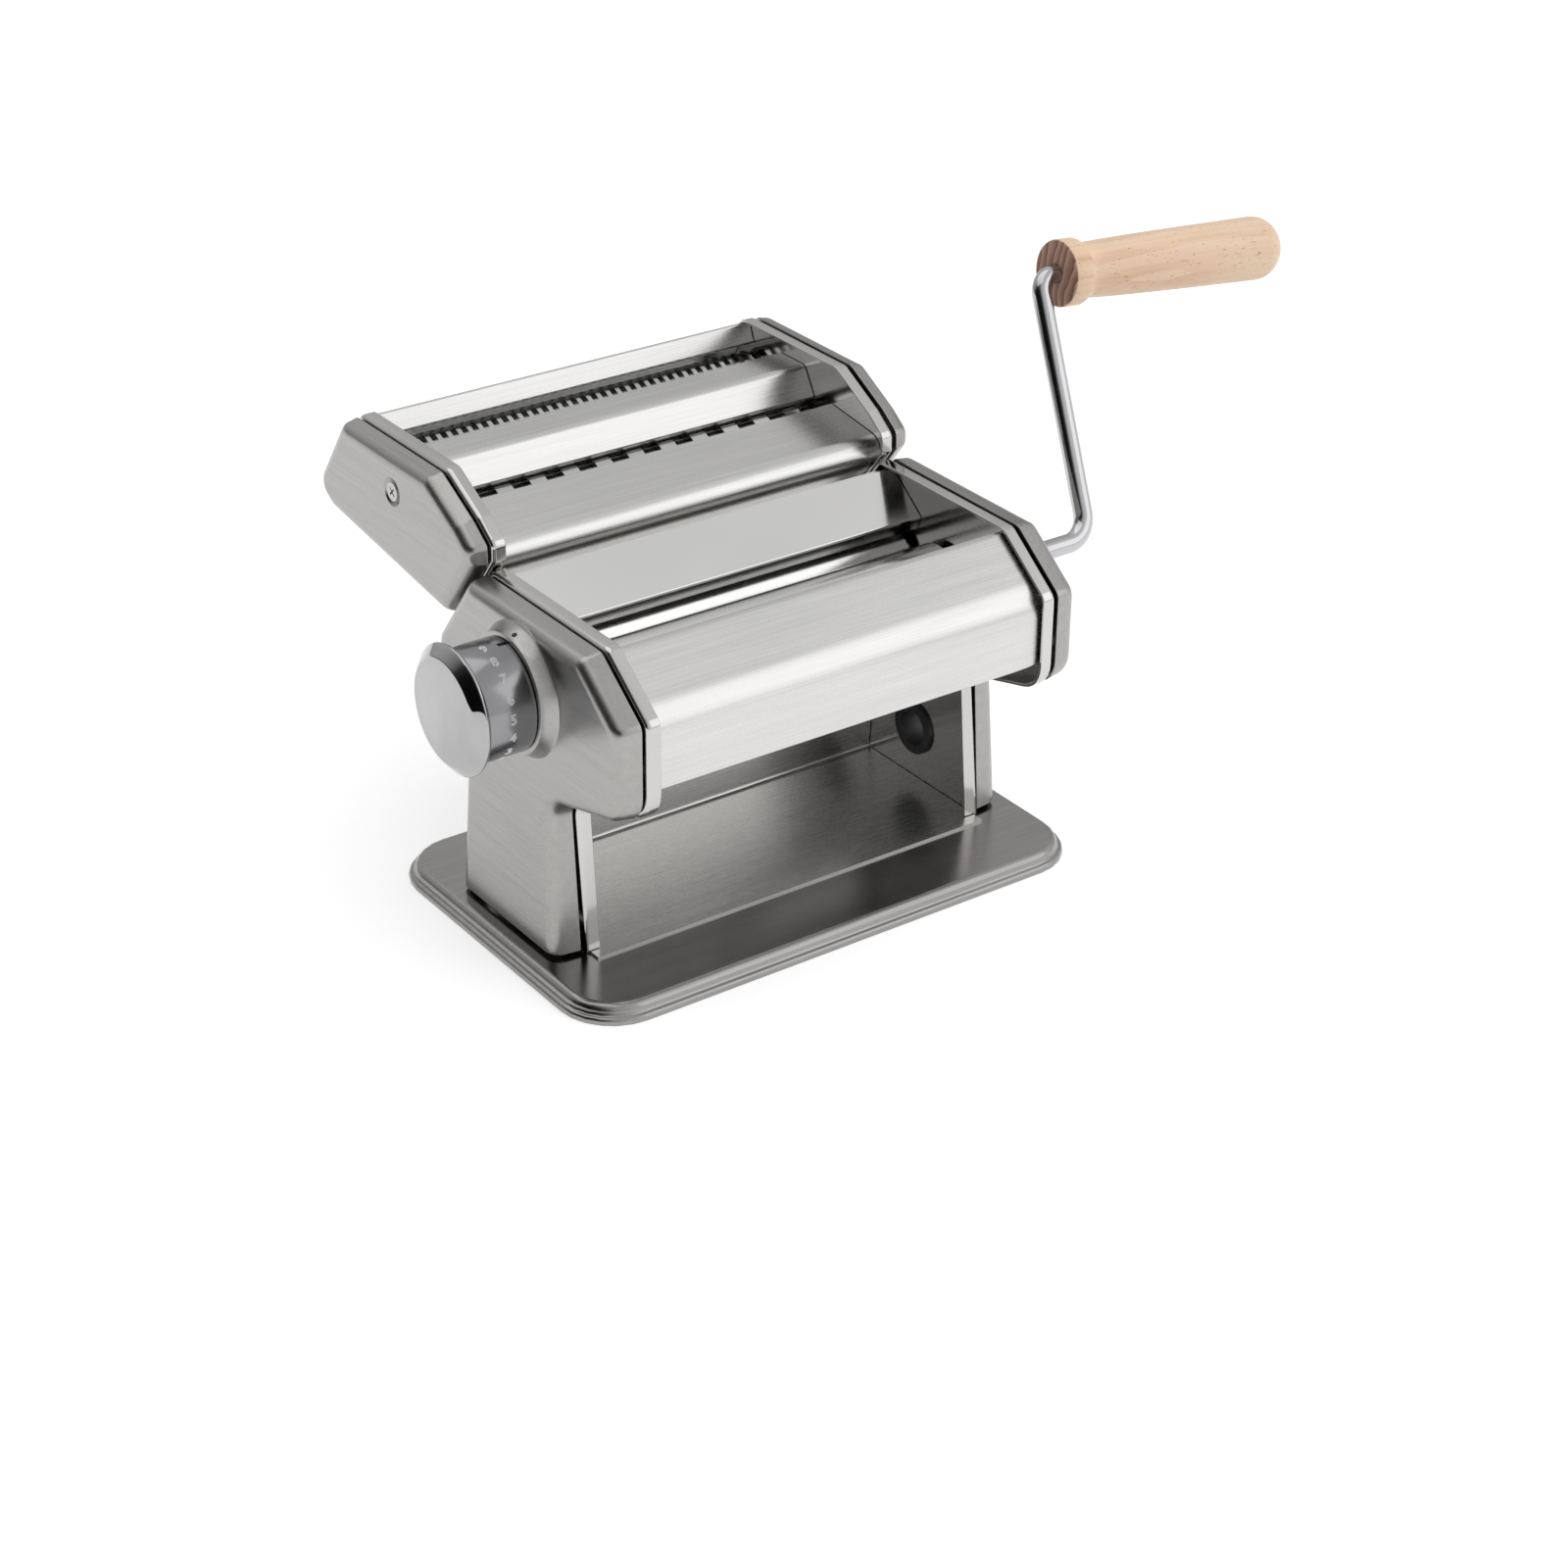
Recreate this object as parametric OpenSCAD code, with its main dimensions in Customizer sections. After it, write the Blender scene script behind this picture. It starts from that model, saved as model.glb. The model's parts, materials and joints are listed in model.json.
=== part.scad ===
// Hand-cranked pasta roller machine with a slide-on cutter unit.
// X runs along the rollers with the crank at +X, -Y is the front, +Z is up.
// The origin is the centre of the base on the table.

/* [Base] */
// Reach of the base beyond each side plate
base_side = 20; // [16:0.5:24]
// Depth of the base from front to back
base_wid = 130; // [120:1:150]
// Height of the base's flat top
base_h = 6; // [5:0.5:9]
// Radius of the base's corners at the hem
base_corner = 20; // [12:1:28]
// Width of the pressed shoulder round the base
shoulder_w = 5; // [4:0.5:7]
// Thickness of the base sheet
base_t = 1; // [0.8:0.1:1.5]
// Radius of the rubber feet
foot_r = 8; // [6:1:10]

/* [Side plates] */
// Clear width between the two side plates
gauge = 158; // [150:1:168]
// Thickness of the side plate sheet
plate_t = 1; // [0.8:0.1:1.5]
// Width of the flange turned inwards round each side plate
flange_w = 7; // [5:0.5:9]
// Front of the leg at the base
foot_front = 29.5; // [26:0.5:34]
// Back of the leg at the base
foot_back = 33; // [30:0.5:38]
// Front of the leg at the waist
waist_front = 24.5; // [21:0.5:28]
// Back of the leg at the waist
waist_back = 28.5; // [26:0.5:31]
// Drop of the waist below the rollers' axis
waist_drop = 29; // [26:0.5:33]
// Reach of the head's nose to the front
nose_y = 65.5; // [60:0.5:72]
// Drop of the nose's lower corner below the rollers' axis
nose_drop = 15.5; // [12:0.5:19]
// Rise of the nose's upper corner above the rollers' axis
nose_rise = 17.5; // [14:0.5:21]
// Rise of the head's top above the rollers' axis
head_rise = 34.5; // [32:0.5:38]
// Front end of the head's flat top
brow_y = 43; // [40:0.5:48]
// Back end of the head's flat top
crown_y = 24; // [22:0.5:27]
// Reach of the head's back
back_y = 44; // [43:0.5:48]
// Drop of the back's lower corner below the rollers' axis
back_drop = 7; // [5:0.5:10]
// Rise of the back's upper corner above the rollers' axis
back_rise = 8; // [6:0.5:10]

/* [Side covers] */
// How far a side cover stands out from its plate
cover_out = 10; // [9:0.5:11]
// Thickness of the cover sheet
cover_t = 1; // [0.8:0.1:1.2]
// Radius of the pressed edge of a cover
cover_edge = 5; // [3:0.5:6]
// Open joint between a plate and its cover
cover_joint = 1.2; // [1.1:0.1:1.5]
// Setback of a cover from the plate's outline
cover_setback = 0.5; // [0.2:0.1:1]
// Share by which the leg of a cover splays out at the base
leg_splay = 0.15; // [0:0.05:0.3]

/* [Head sheets] */
// Thickness of the front cover, feed plate and tray
sheet_t = 0.8; // [0.6:0.1:1]
// Depth of the sheets below the side plates' outline
sheet_drop = 2.2; // [1.5:0.1:3]
// Clearance of the sheets at the side plates
sheet_gap = 0.3; // [0.2:0.1:0.6]
// Width of the front cover's flat rim before the feed opening
throat_rim = 2.5; // [2:0.5:6]
// Back edge of the feed opening, where the feed plate ends
throat_back = 5; // [3:0.5:8]
// Rise of the feed plate's lower edge above the rollers' axis
lip_rise = 19.5; // [18:0.5:22]
// Drop of the front cover's lower edge below the rollers' axis
apron_drop = 7.5; // [5:0.5:10]
// Reach of the exit tray in front of the legs
tray_reach = 4.5; // [2:0.5:8]
// Distance of the tray's back wall below the waist
tray_drop = 4; // [2:0.5:10]

/* [Rollers] */
// Radius of the smooth rollers
roller_r = 14.5; // [13.5:0.1:14.8]
// Depth position of the drive roller
drive_y = -8; // [-10:0.5:-7]
// Height of the rollers' axis above the table
roller_z = 87; // [80:0.5:95]
// Gap between the rollers at the thickest setting
gap_thick = 2.5; // [2:0.1:3]
// Gap between the rollers at the thinnest setting
gap_thin = 0.3; // [0.3:0.1:0.6]
// Radius of the roller journals
journal_r = 6; // [5.5:0.1:6.5]
// Radial clearance of every running fit
fit = 0.05; // [0.02:0.01:0.08]
// Set-in of the roller bodies from each side plate
end_play = 2.5; // [2:0.1:4]

/* [Roller gears] */
// Teeth on each roller gear
gear_teeth = 20; // [20:4:20]
// How far the gear teeth stand over the rollers' surface
gear_over = 2.1; // [1.6:0.1:2.3]
// Clearance between a gear's tips and the other gear's roots
gear_gap = 0.3; // [0.2:0.05:0.5]
// Face width of every gear
gear_w = 3.6; // [3:0.2:4]

/* [Thickness dial] */
// Depth position of the dial
dial_y = -9.5; // [-11:0.5:-8]
// Rise of the dial above the rollers' axis
dial_rise = 9.5; // [8:0.5:11]
// Radius of the numbered barrel
barrel_r = 18.75; // [17:0.25:20]
// Length of the numbered barrel
barrel_len = 17; // [14:1:20]
// Radius of the knob's rim
rim_r = 21.6; // [20.5:0.1:24]
// Radius of the knob's flat face
face_r = 18.5; // [16:0.5:19.5]
// Height of the conical boss on the left cover
boss_h = 5.2; // [4:0.2:6]
// Radius of the boss where it leaves the cover
boss_r = 27; // [25:0.5:29]
// Radius of the dial's spindle
spindle_r = 5; // [4:0.5:5.5]
// Largest radius of the spiral cam
cam_r = 10.2; // [9.5:0.1:10.6]

/* [Crank] */
// Radius of the crank's round bar
bar_r = 3.5; // [3:0.1:3.8]
// Distance of the crank's lower bend from the right cover
arm_out = 53; // [40:1:65]
// Length of the arm from the roller's axis to the handle's axis
arm_len = 93; // [80:1:105]
// Turn of the crank towards the back
arm_swing = 28; // [0:0.5:45]
// Lean of the arm away from the machine
arm_lean = 5.5; // [0:0.5:10]
// Centre-line radius of the bend at the machine
low_bend = 10; // [8:0.5:12]
// Centre-line radius of the bend at the handle
top_bend = 7; // [6:0.5:9]
// Depth of the crank inside the drive roller
crank_depth = 24; // [18:1:26]

/* [Handle] */
// Length of the wooden handle
handle_len = 99; // [85:1:105]
// Radius of the flange at the arm's end
handle_flange = 12; // [11:0.5:14]
// Radius of the neck behind the flange
handle_neck = 9.8; // [9:0.2:10.6]
// Radius of the handle's full end
handle_r = 11.6; // [10.8:0.2:13]
// Clearance between the bend and the handle
handle_gap = 0.8; // [0.5:0.1:1.5]

/* [Clamp socket] */
// Radius of the socket for the table clamp
socket_r = 6.5; // [5:0.1:7]
// Radius of the collar round the socket
collar_r = 9.7; // [9:0.1:11]
// Depth position of the socket
socket_y = 5; // [0:0.5:10]
// Height of the socket
socket_z = 25.7; // [22:0.1:32]

/* [Cutter unit] */
// How far a cover stands out from the cutter unit's plate
cutter_out = 8; // [7.5:0.5:9]
// Clearance between the cutter unit and the head's back
cutter_gap = 0.5; // [0.4:0.1:1]
// Rise of the cutter unit's flat top above the head
cutter_rise = 25.8; // [24:0.2:29]
// Distance of the flat top's front edge behind the head's flat top
cutter_lead = 25.5; // [24:0.5:28]
// Reach of the cutter unit's back behind its flat top
cutter_tail = 17.5; // [16:0.5:20]
// Radius over the cutter rings
ring_r = 8; // [7.8:0.1:8.1]
// Depth by which paired rings mesh
ring_mesh = 1.4; // [1:0.1:1.6]
// Pitch of the wide cutter rings
wide_pitch = 13; // [10:0.5:16]
// Pitch of the narrow cutter rings
narrow_pitch = 4; // [3:0.5:5]
// Side clearance between meshing rings
ring_gap = 0.3; // [0.25:0.05:0.35]
// Distance of the wide pair behind the flat top's front edge
wide_in = 12.5; // [11:0.5:14]
// Depth of the wide pair below the flat top
wide_drop = 27.8; // [26:0.2:30]
// Free space between the wide and the narrow pair
pair_gap = 3.9; // [3.5:0.1:6]
// Distance of the narrow pair before the flat top's back edge
narrow_in = 9.5; // [8:0.5:12]
// Depth of the narrow pair below the flat top
narrow_drop = 20.3; // [19:0.1:22]
// Step from a cutter roller's core down to its journal
journal_step = 1; // [0.8:0.1:1.3]
// Teeth on each cutter gear
cutter_teeth = 12; // [12:4:12]

/* [Hidden] */
$fn = 64;
steel = [0.74, 0.74, 0.73];
bright = [0.86, 0.86, 0.87];
dark = [0.18, 0.18, 0.19];
beech = [0.82, 0.65, 0.47];
arc_steps = 6;
overlap = 0.01;

web_in = gauge / 2;
web_out = web_in + plate_t;
base_len = 2 * (web_out + base_side);
flange_x = web_out - flange_w;
inside = web_in - sheet_gap;
hem_x = web_out + cover_joint;
face_x = web_out + cover_out;
roller_end = web_in - end_play;
waist_z = roller_z - waist_drop;
nose_low = roller_z - nose_drop;
nose_high = roller_z + nose_rise;
head_top = roller_z + head_rise;
back_low = roller_z - back_drop;
back_high = roller_z + back_rise;
dial_z = roller_z + dial_rise;
adjust_y = drive_y + 2 * roller_r + gap_thin;
gear_tip = roller_r + gear_over;
gear_root = adjust_y - drive_y - gear_tip - gear_gap;
adjust_travel = gap_thick - gap_thin;
bush_r = journal_r + 1.5;
block = bush_r + 1;
block_low = 14;
layer = web_out + 2;
sheet_floor = base_h + sheet_t + sheet_gap;
rod_r = 2.5;
screw_r = 1.5;

// Side outline of the main frame, seen from +X: [y, z, corner radius]
frame_outline = [
    [-foot_front, base_h, 1], [foot_back, base_h, 1], [waist_back, waist_z, 7],
    [back_y, back_low, 6], [back_y, back_high, 5], [crown_y, head_top, 3],
    [-brow_y, head_top, 5], [-nose_y, nose_high, 5], [-nose_y, nose_low, 11],
    [-waist_front, waist_z + 2.5, 7]];
frame_rods = [[13.5 - nose_y, roller_z + 5], [drive_y - 10, waist_z + 8],
              [adjust_y + 2.7, waist_z + 6], [adjust_y + 5.7, head_top - 14.5]];
frame_posts = [[15.5 - nose_y, nose_low + 8.5], [crown_y - 16, head_top - 7.5], [2, waist_z + 4]];

// The cutter unit's front rides parallel to the back slope of the head
slope = [back_y - crown_y, back_high - head_top];
slope_out = [-slope[1], slope[0]] / norm(slope);
ride = [crown_y, head_top] + slope_out * cutter_gap;
ring_d = 2 * ring_r - ring_mesh;
core_r = ring_d - ring_r - 0.4;
cutter_journal = core_r - journal_step;
cutter_bush = cutter_journal + 1.6;
cutter_top = head_top + cutter_rise;
cutter_brow = crown_y + cutter_lead;
wide_y = cutter_brow + wide_in;
wide_z = cutter_top - wide_drop;
narrow_y = wide_y + ring_d + 2 * ring_r + pair_gap;
narrow_z = cutter_top - narrow_drop;
cutter_crown = narrow_y + narrow_in;
cutter_back = cutter_crown + cutter_tail;
function ride_at(z, d) = [ride[0] + slope[0] * (z - ride[1]) / slope[1], z] + slope_out * d;
cutter_outline = [
    [each ride_at(head_top - 21, 0), 2], [cutter_back - 8.5, head_top - 11, 4],
    [cutter_back - 1, head_top - 6.5, 5], [cutter_back, head_top + 0.5, 6],
    [cutter_crown, cutter_top, 5], [cutter_brow, cutter_top, 5],
    [cutter_brow - 18.5, cutter_top - 10, 9], [ride_at(head_top + 3, 0)[0], head_top + 9.5, 4],
    [each ride_at(head_top + 3, 0), 1.5]];
screw_y = wide_y + ring_d / 2 + 2.1;
screw_z = cutter_top - 13.8;
cutter_rods = [[wide_y - 21, head_top + 0.5], [screw_y + 6.6, screw_z + 0.5],
               [cutter_back - 6.5, head_top - 3.5]];
ring_end = web_in - 1.5;

function unit(v) = v / norm(v);
function flat(p) = [p[0], p[1]];
function reverse(v) = [for (i = [len(v) - 1:-1:0]) v[i]];
function left_of(a, b) = unit([a[1] - b[1], b[0] - a[0]]);
function turn(a, p, b) = (p[0] - a[0]) * (b[1] - p[1]) - (p[1] - a[1]) * (b[0] - p[0]);
function mitre(m, n) = (m + n) / (1 + m * n);
function inset_corner(a, p, b, d) =
    concat(flat(p) + d * mitre(left_of(a, p), left_of(p, b)),
           [turn(a, p, b) > 0 ? max(p[2] - d, 0.3) : p[2] + d]);

// Moves every side of a closed anticlockwise outline inwards by d
function inset(o, d) = let(n = len(o))
    [for (i = [0:n - 1]) inset_corner(o[(i + n - 1) % n], o[i], o[(i + 1) % n], d)];

// Point at height z on the line through a and b
function on_line(a, b, z) = flat(a) + (flat(b) - flat(a)) * (z - a[1]) / (b[1] - a[1]);

// The same for an open path, towards its left
function shift(o, d) = let(n = len(o)) [for (i = [0:n - 1])
    i == 0 ? concat(flat(o[0]) + d * left_of(o[0], o[1]), [0]) :
    i == n - 1 ? concat(flat(o[i]) + d * left_of(o[i - 1], o[i]), [0]) :
    inset_corner(o[i - 1], o[i], o[i + 1], d)];

// Points of the arc that rounds corner p between a and b
function fillet(a, p, b) = let(
    u = unit(flat(a) - flat(p)),
    v = unit(flat(b) - flat(p)),
    half = acos(max(-1, min(1, u * v))) / 2,
    c = flat(p) + unit(u + v) * p[2] / sin(half),
    s = flat(p) + u * p[2] / tan(half) - c,
    sweep = (180 - 2 * half) * (turn(a, p, b) > 0 ? 1 : -1),
    start = atan2(s[1], s[0]))
    [for (k = [0:arc_steps]) c + p[2] * [cos(start + sweep * k / arc_steps),
                                         sin(start + sweep * k / arc_steps)]];
function rounded(o) = let(n = len(o))
    [for (i = [0:n - 1]) each fillet(o[(i + n - 1) % n], o[i], o[(i + 1) % n])];
function rounded_path(o) = let(n = len(o)) [flat(o[0]),
    for (i = [1:1:n - 2]) each fillet(o[i - 1], o[i], o[i + 1]), flat(o[n - 1])];

// Turns a drawing in (y, z) into a slab from x0 to x1
module slab(x0, x1) {
    translate([x0, 0, 0]) rotate([90, 0, 90]) linear_extrude(x1 - x0) children();
}

// Round bar along X
module bar(r, x0, x1, y, z) {
    translate([x0, y, z]) rotate([0, 90, 0]) cylinder(r = r, h = x1 - x0);
}

// Tube along X
module tube(r, bore, x0, x1, y, z) {
    difference() {
        bar(r, x0, x1, y, z);
        bar(bore, x0 - 1, x1 + 1, y, z);
    }
}

// Turned solid along X from a profile of [radius, x]
module turned(profile, y, z) {
    translate([0, y, z]) rotate([90, 0, 90]) rotate_extrude() polygon(profile);
}

// Folded sheet of thickness t to the left of a path
module folded(path, t, half) {
    slab(-half, half) polygon(concat(rounded_path(path), reverse(rounded_path(shift(path, t)))));
}

module both_sides() {
    children();
    mirror([1, 0, 0]) children();
}

// Pan-shaped side plate with its flange turned towards the rollers, cut off below the floor
module pan(outline, floor) {
    slab(web_in, web_out) polygon(rounded(outline));
    slab(flange_x, web_in + overlap) difference() {
        polygon(rounded(outline));
        polygon(rounded(inset(outline, plate_t)));
        translate([-200, floor - 200]) square([400, 200]);
    }
}

// Closed skin over stacked rings of n points. The face polygons lie on the ring called lid
// and on the next one.
module skin(rings, lid, faces) {
    m = len(rings);
    n = len(rings[0]);
    walls = [for (j = [0:m - 1], i = [0:n - 1]) if (j != lid)
        let(p = j * n, r = ((j + 1) % m) * n, k = (i + 1) % n)
        each [[p + i, r + k, p + k], [p + i, r + i, r + k]]];
    outer = [for (c = faces) [for (i = reverse(c)) lid * n + i]];
    inner = [for (c = faces) [for (i = c) (lid + 1) * n + i]];
    polyhedron([for (q = rings) each q], concat(walls, outer, inner), convexity = 6);
}

// Splits a face into triangles between its two sides, rung by rung
function ladder(c) = let(n = len(c)) [for (i = [0:n / 2 - 2])
    each [[c[i], c[i + 1], c[n - 1 - i]], [c[i + 1], c[n - 2 - i], c[n - 1 - i]]]];

// Height and inset of the points along a pressed edge of radius r below the height top
function edge(top, start, r, t) = [for (k = [0:arc_steps])
    let(a = 90 * k / arc_steps) [top - r + (r - t) * sin(a), start + r - (r - t) * cos(a)]];

// Pressed cover over an outline. Below its crease, between two corners, the leg splays outwards.
module cover_shell(outline, height, crease) {
    n = len(outline) * (arc_steps + 1);
    top = web_out + height;
    steps = concat([[hem_x, cover_setback]], edge(top, cover_setback, cover_edge, 0),
                   reverse(edge(top, cover_setback, cover_edge, cover_t)),
                   [[hem_x, cover_setback + cover_t]]);
    face = rounded(inset(outline, cover_setback + cover_edge));
    a = len(crease) == 2 ? crease[0] * (arc_steps + 1) + arc_steps / 2 : 0;
    b = len(crease) == 2 ? crease[1] * (arc_steps + 1) + arc_steps / 2 : 0;
    down = left_of(face[a], face[b]);
    rings = [for (q = steps) [for (p = rounded(inset(outline, q[1])))
        let(drop = a == b ? 0 : max(0, (p - face[a]) * down))
        [hem_x + (q[0] - hem_x) * (1 + leg_splay * drop / waist_z), p[0], p[1]]]];
    faces = a == b ? [[for (i = [0:n - 1]) i]] :
        concat(ladder([for (i = [a:b]) i]), ladder([for (i = [b:a + n]) i % n]));
    skin(rings, arc_steps + 1, faces);
}

// Gear from x0. A phase of 0 puts a tooth towards +Y and 0.5 a gap.
module gear(y, z, x0, teeth, tip, root, bore, phase) {
    tooth = [[root, -0.28], [tip, -0.07], [tip, 0.07], [root, 0.28]];
    outline = [for (i = [0:teeth - 1], q = tooth)
        let(a = (i + phase + q[1]) * 360 / teeth) q[0] * [cos(a), sin(a)]];
    slab(x0, x0 + gear_w) translate([y, z]) difference() {
        polygon(outline);
        circle(r = bore);
    }
}

// Bend of the crank's round bar, which comes along +X and turns towards +Z for side 1,
// towards -Z for side -1. It is a hair thinner than the bar, whose straight ends lap over it.
bend_thin = 0.03;
bend_lap = 0.2;
module bend(r, sweep, side) {
    translate([0, 0, side * r]) rotate([90, 0, 0]) rotate([0, 0, side > 0 ? -90 : 90 - sweep])
        rotate_extrude(angle = sweep) translate([r, 0]) circle(r = bar_r - bend_thin);
}

// Places what follows such a bend
module past_bend(r, sweep, side) {
    translate([0, 0, side * r]) rotate([0, -side * sweep, 0]) translate([0, 0, -side * r])
        children();
}

// ---- Base ----
tray_outline = [for (q = [[1, -1], [1, 1], [-1, 1], [-1, -1]])
    [q[0] * base_len / 2, q[1] * base_wid / 2, base_corner]];
bead_r = 1.4;
bead_top = base_h - 3.6;
shoulder_in = 1.9;

module base_tray() {
    bead = edge(bead_top, 0, bead_r, 0);
    bead_inside = edge(bead_top, 0, bead_r, base_t);
    shoulder = edge(base_h, shoulder_in, shoulder_w - shoulder_in, 0);
    shoulder_inside = edge(base_h, shoulder_in, shoulder_w - shoulder_in, base_t);
    steps = concat([[0, 0]], bead, shoulder, reverse(shoulder_inside), reverse(bead_inside),
                   [[0, base_t]]);
    rings = [for (q = steps) [for (p = rounded(inset(tray_outline, q[1]))) [p[0], p[1], q[0]]]];
    n = len(rings[0]);
    color(steel) difference() {
        skin(rings, 2 * arc_steps + 2, [[for (i = [0:n - 1]) i]]);
        base_screw_places() cylinder(r = screw_r, h = base_h + 1);
    }
}

module base_screw_places() {
    both_sides() for (y = [-14, 18]) translate([web_out + 4, y, 0]) children();
}

module rubber_feet() {
    color(dark) for (x = [-1, 1], y = [-1, 1])
        translate([x * (base_len / 2 - 24), y * (base_wid / 2 - 18), 0])
            cylinder(r = foot_r, h = base_h - base_t);
}

module base_screws() {
    color(bright) base_screw_places() {
        translate([0, 0, base_h - base_t - 1.8]) cylinder(r = 2 * screw_r, h = 1.8);
        translate([0, 0, base_h - base_t - overlap]) cylinder(r = screw_r, h = base_t + 3.5);
    }
}

// ---- Side plates ----
foot_tab = [8, 44, 2.5];

module side_plate() {
    pan(frame_outline, sheet_floor);
    translate([web_out - overlap, 2 - foot_tab[1] / 2, base_h]) difference() {
        cube(foot_tab);
        for (y = [-16, 16]) translate([4 + overlap, foot_tab[1] / 2 + y, -1])
            cylinder(r = screw_r, h = foot_tab[2] + 2);
    }
    for (p = frame_posts) bar(3, web_out - overlap, face_x - cover_t - 0.02, p[0], p[1]);
}

module plate_holes() {
    bar(bush_r, web_in - 1, web_out + 1, drive_y, roller_z);
    for (p = frame_rods) bar(screw_r, web_in - 1, web_out + 1, p[0], p[1]);
    slab(web_in - 1, web_out + 1)
        translate([adjust_y - block - 0.3, roller_z - block_low - 0.3])
            square([2 * block + adjust_travel + 0.6, block + block_low + 0.6]);
}

module left_side_plate() {
    color(bright) mirror([1, 0, 0]) difference() {
        side_plate();
        plate_holes();
    }
}

module right_side_plate() {
    color(bright) difference() {
        side_plate();
        plate_holes();
        bar(socket_r + 1.5, web_in - 1, web_out + 1, socket_y, socket_z);
    }
}

// ---- Side covers ----
cover_floor = base_h + 1.5;
module side_cover() {
    intersection() {
        cover_shell([for (i = [0:len(frame_outline) - 1]) i < 2 ?
            frame_outline[i] - [0, 10, 0] : frame_outline[i]], cover_out, [2, 9]);
        translate([0, -100, cover_floor]) cube([200, 200, 200]);
    }
}

module left_side_cover() {
    color(steel) mirror([1, 0, 0]) difference() {
        union() {
            side_cover();
            translate([face_x - overlap, dial_y, dial_z]) rotate([0, 90, 0])
                cylinder(r1 = boss_r, r2 = barrel_r + 1.2, h = boss_h);
        }
        translate([face_x - cover_t, dial_y, dial_z]) rotate([0, 90, 0])
            cylinder(r1 = boss_r - 1, r2 = barrel_r - 0.8, h = boss_h + overlap);
        bar(spindle_r + 2, face_x, face_x + 20, dial_y, dial_z);
    }
}

module right_side_cover() {
    color(steel) difference() {
        side_cover();
        bar(journal_r + 0.5, face_x - 5, face_x + 5, drive_y, roller_z);
        bar(socket_r + 1.6, face_x - 5, face_x + 5, socket_y, socket_z);
    }
}

// ---- Sheets of the head ----
module front_cover() {
    c = inset(frame_outline, sheet_drop);
    apron_z = roller_z - apron_drop;
    color(steel) folded([[throat_rim - brow_y, c[6][1], 0], c[6], c[7], [c[7][0], apron_z, 1.2],
                         [c[7][0] + 5, apron_z, 0]], sheet_t, inside);
}

feed_top = inset(frame_outline, sheet_drop)[5];
module feed_plate() {
    lip_z = roller_z + lip_rise;
    color(steel) folded([[feed_top[0] - 1.5, feed_top[1] - 0.4, 0], [throat_back, lip_z, 0.9],
                         [throat_back + 2, lip_z - 5, 0]], sheet_t, inside);
}

module rear_cover() {
    c = inset(frame_outline, sheet_drop);
    color(steel) folded([[c[2][0] + 3, c[2][1] + 6, 0], c[3], c[4],
                         [c[5][0] + 0.4, c[5][1] - 0.8, 0]], sheet_t, inside);
}

module exit_tray() {
    c = inset(frame_outline, plate_t + sheet_gap);
    color(steel) folded([[-foot_front - tray_reach, base_h, 0], [c[1][0], base_h, 2],
                         [each on_line(c[1], c[2], waist_z - tray_drop), 0]], sheet_t, inside);
}

// Scraper strip that ends just short of a roller
module scraper(y, side) {
    tip = [y + side * (roller_r + 0.3) * sin(15), roller_z - (roller_r + 0.3) * cos(15)];
    heel = tip + [side * 0.8, -4.5];
    path = side > 0 ? [tip, heel] : [heel, tip];
    folded([for (p = path) [p[0], p[1], 0]], sheet_t, inside);
}

module front_scraper() {
    color(bright) scraper(drive_y, -1);
}

module rear_scraper() {
    color(bright) {
        scraper(adjust_y, 1);
        both_sides() slab(inside - 1, inside)
            translate([adjust_y + 3, roller_z - block_low - 3]) square([block - 3, 7]);
    }
}

module rods(places) {
    for (p = places) difference() {
        bar(rod_r, -web_in, web_in, p[0], p[1]);
        for (s = [-1, 1]) bar(screw_r, s * (web_in - 4) - 4, s * (web_in - 4) + 4, p[0], p[1]);
    }
}

module tie_rods() {
    color(bright) rods(frame_rods);
}

module rod_screws(places) {
    both_sides() for (p = places) {
        bar(2 * screw_r, web_out, web_out + 2, p[0], p[1]);
        bar(screw_r, web_in - 7, web_out + overlap, p[0], p[1]);
    }
}

module tie_rod_screws() {
    color(bright) rod_screws(frame_rods);
}

// The socket runs from the inside of the right leg out through its cover
socket_drop = waist_z - socket_z;
socket_end = hem_x + (face_x - hem_x) * (1 + leg_splay * socket_drop / waist_z) + 0.6;

module clamp_bush() {
    color(dark) difference() {
        union() {
            bar(socket_r + 1.5, web_in - 1, socket_end, socket_y, socket_z);
            bar(collar_r, web_in - 1.2, web_in, socket_y, socket_z);
        }
        bar(socket_r, web_in - 2, socket_end + 1, socket_y, socket_z);
    }
}

// ---- Rollers ----
module drive_bushes() {
    color(dark) both_sides() {
        tube(bush_r, journal_r + fit, web_in - 0.3, web_out + 1.5, drive_y, roller_z);
    }
}

module roller(y) {
    bar(roller_r, -roller_end, roller_end, y, roller_z);
    bar(journal_r + 2, -web_in + 0.6, web_in - 0.6, y, roller_z);
    bar(journal_r, -layer, web_out + 2, y, roller_z);
}

module drive_roller() {
    color(bright) difference() {
        union() {
            roller(drive_y);
            bar(journal_r, web_out, face_x + 1, drive_y, roller_z);
        }
        bar(bar_r + fit, face_x + 1 - crank_depth, face_x + 2, drive_y, roller_z);
    }
}

module drive_gear() {
    color(bright) gear(drive_y, roller_z, layer + 0.4, gear_teeth, gear_tip, gear_root,
                       journal_r, 0);
}

module adjustable_roller() {
    color(bright) {
        roller(adjust_y);
        bar(journal_r, web_out, layer + 0.4 + gear_w, adjust_y, roller_z);
    }
}

module adjustable_gear() {
    color(bright) gear(adjust_y, roller_z, layer + 0.4, gear_teeth, gear_tip, gear_root,
                       journal_r, 0.5);
}

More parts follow.
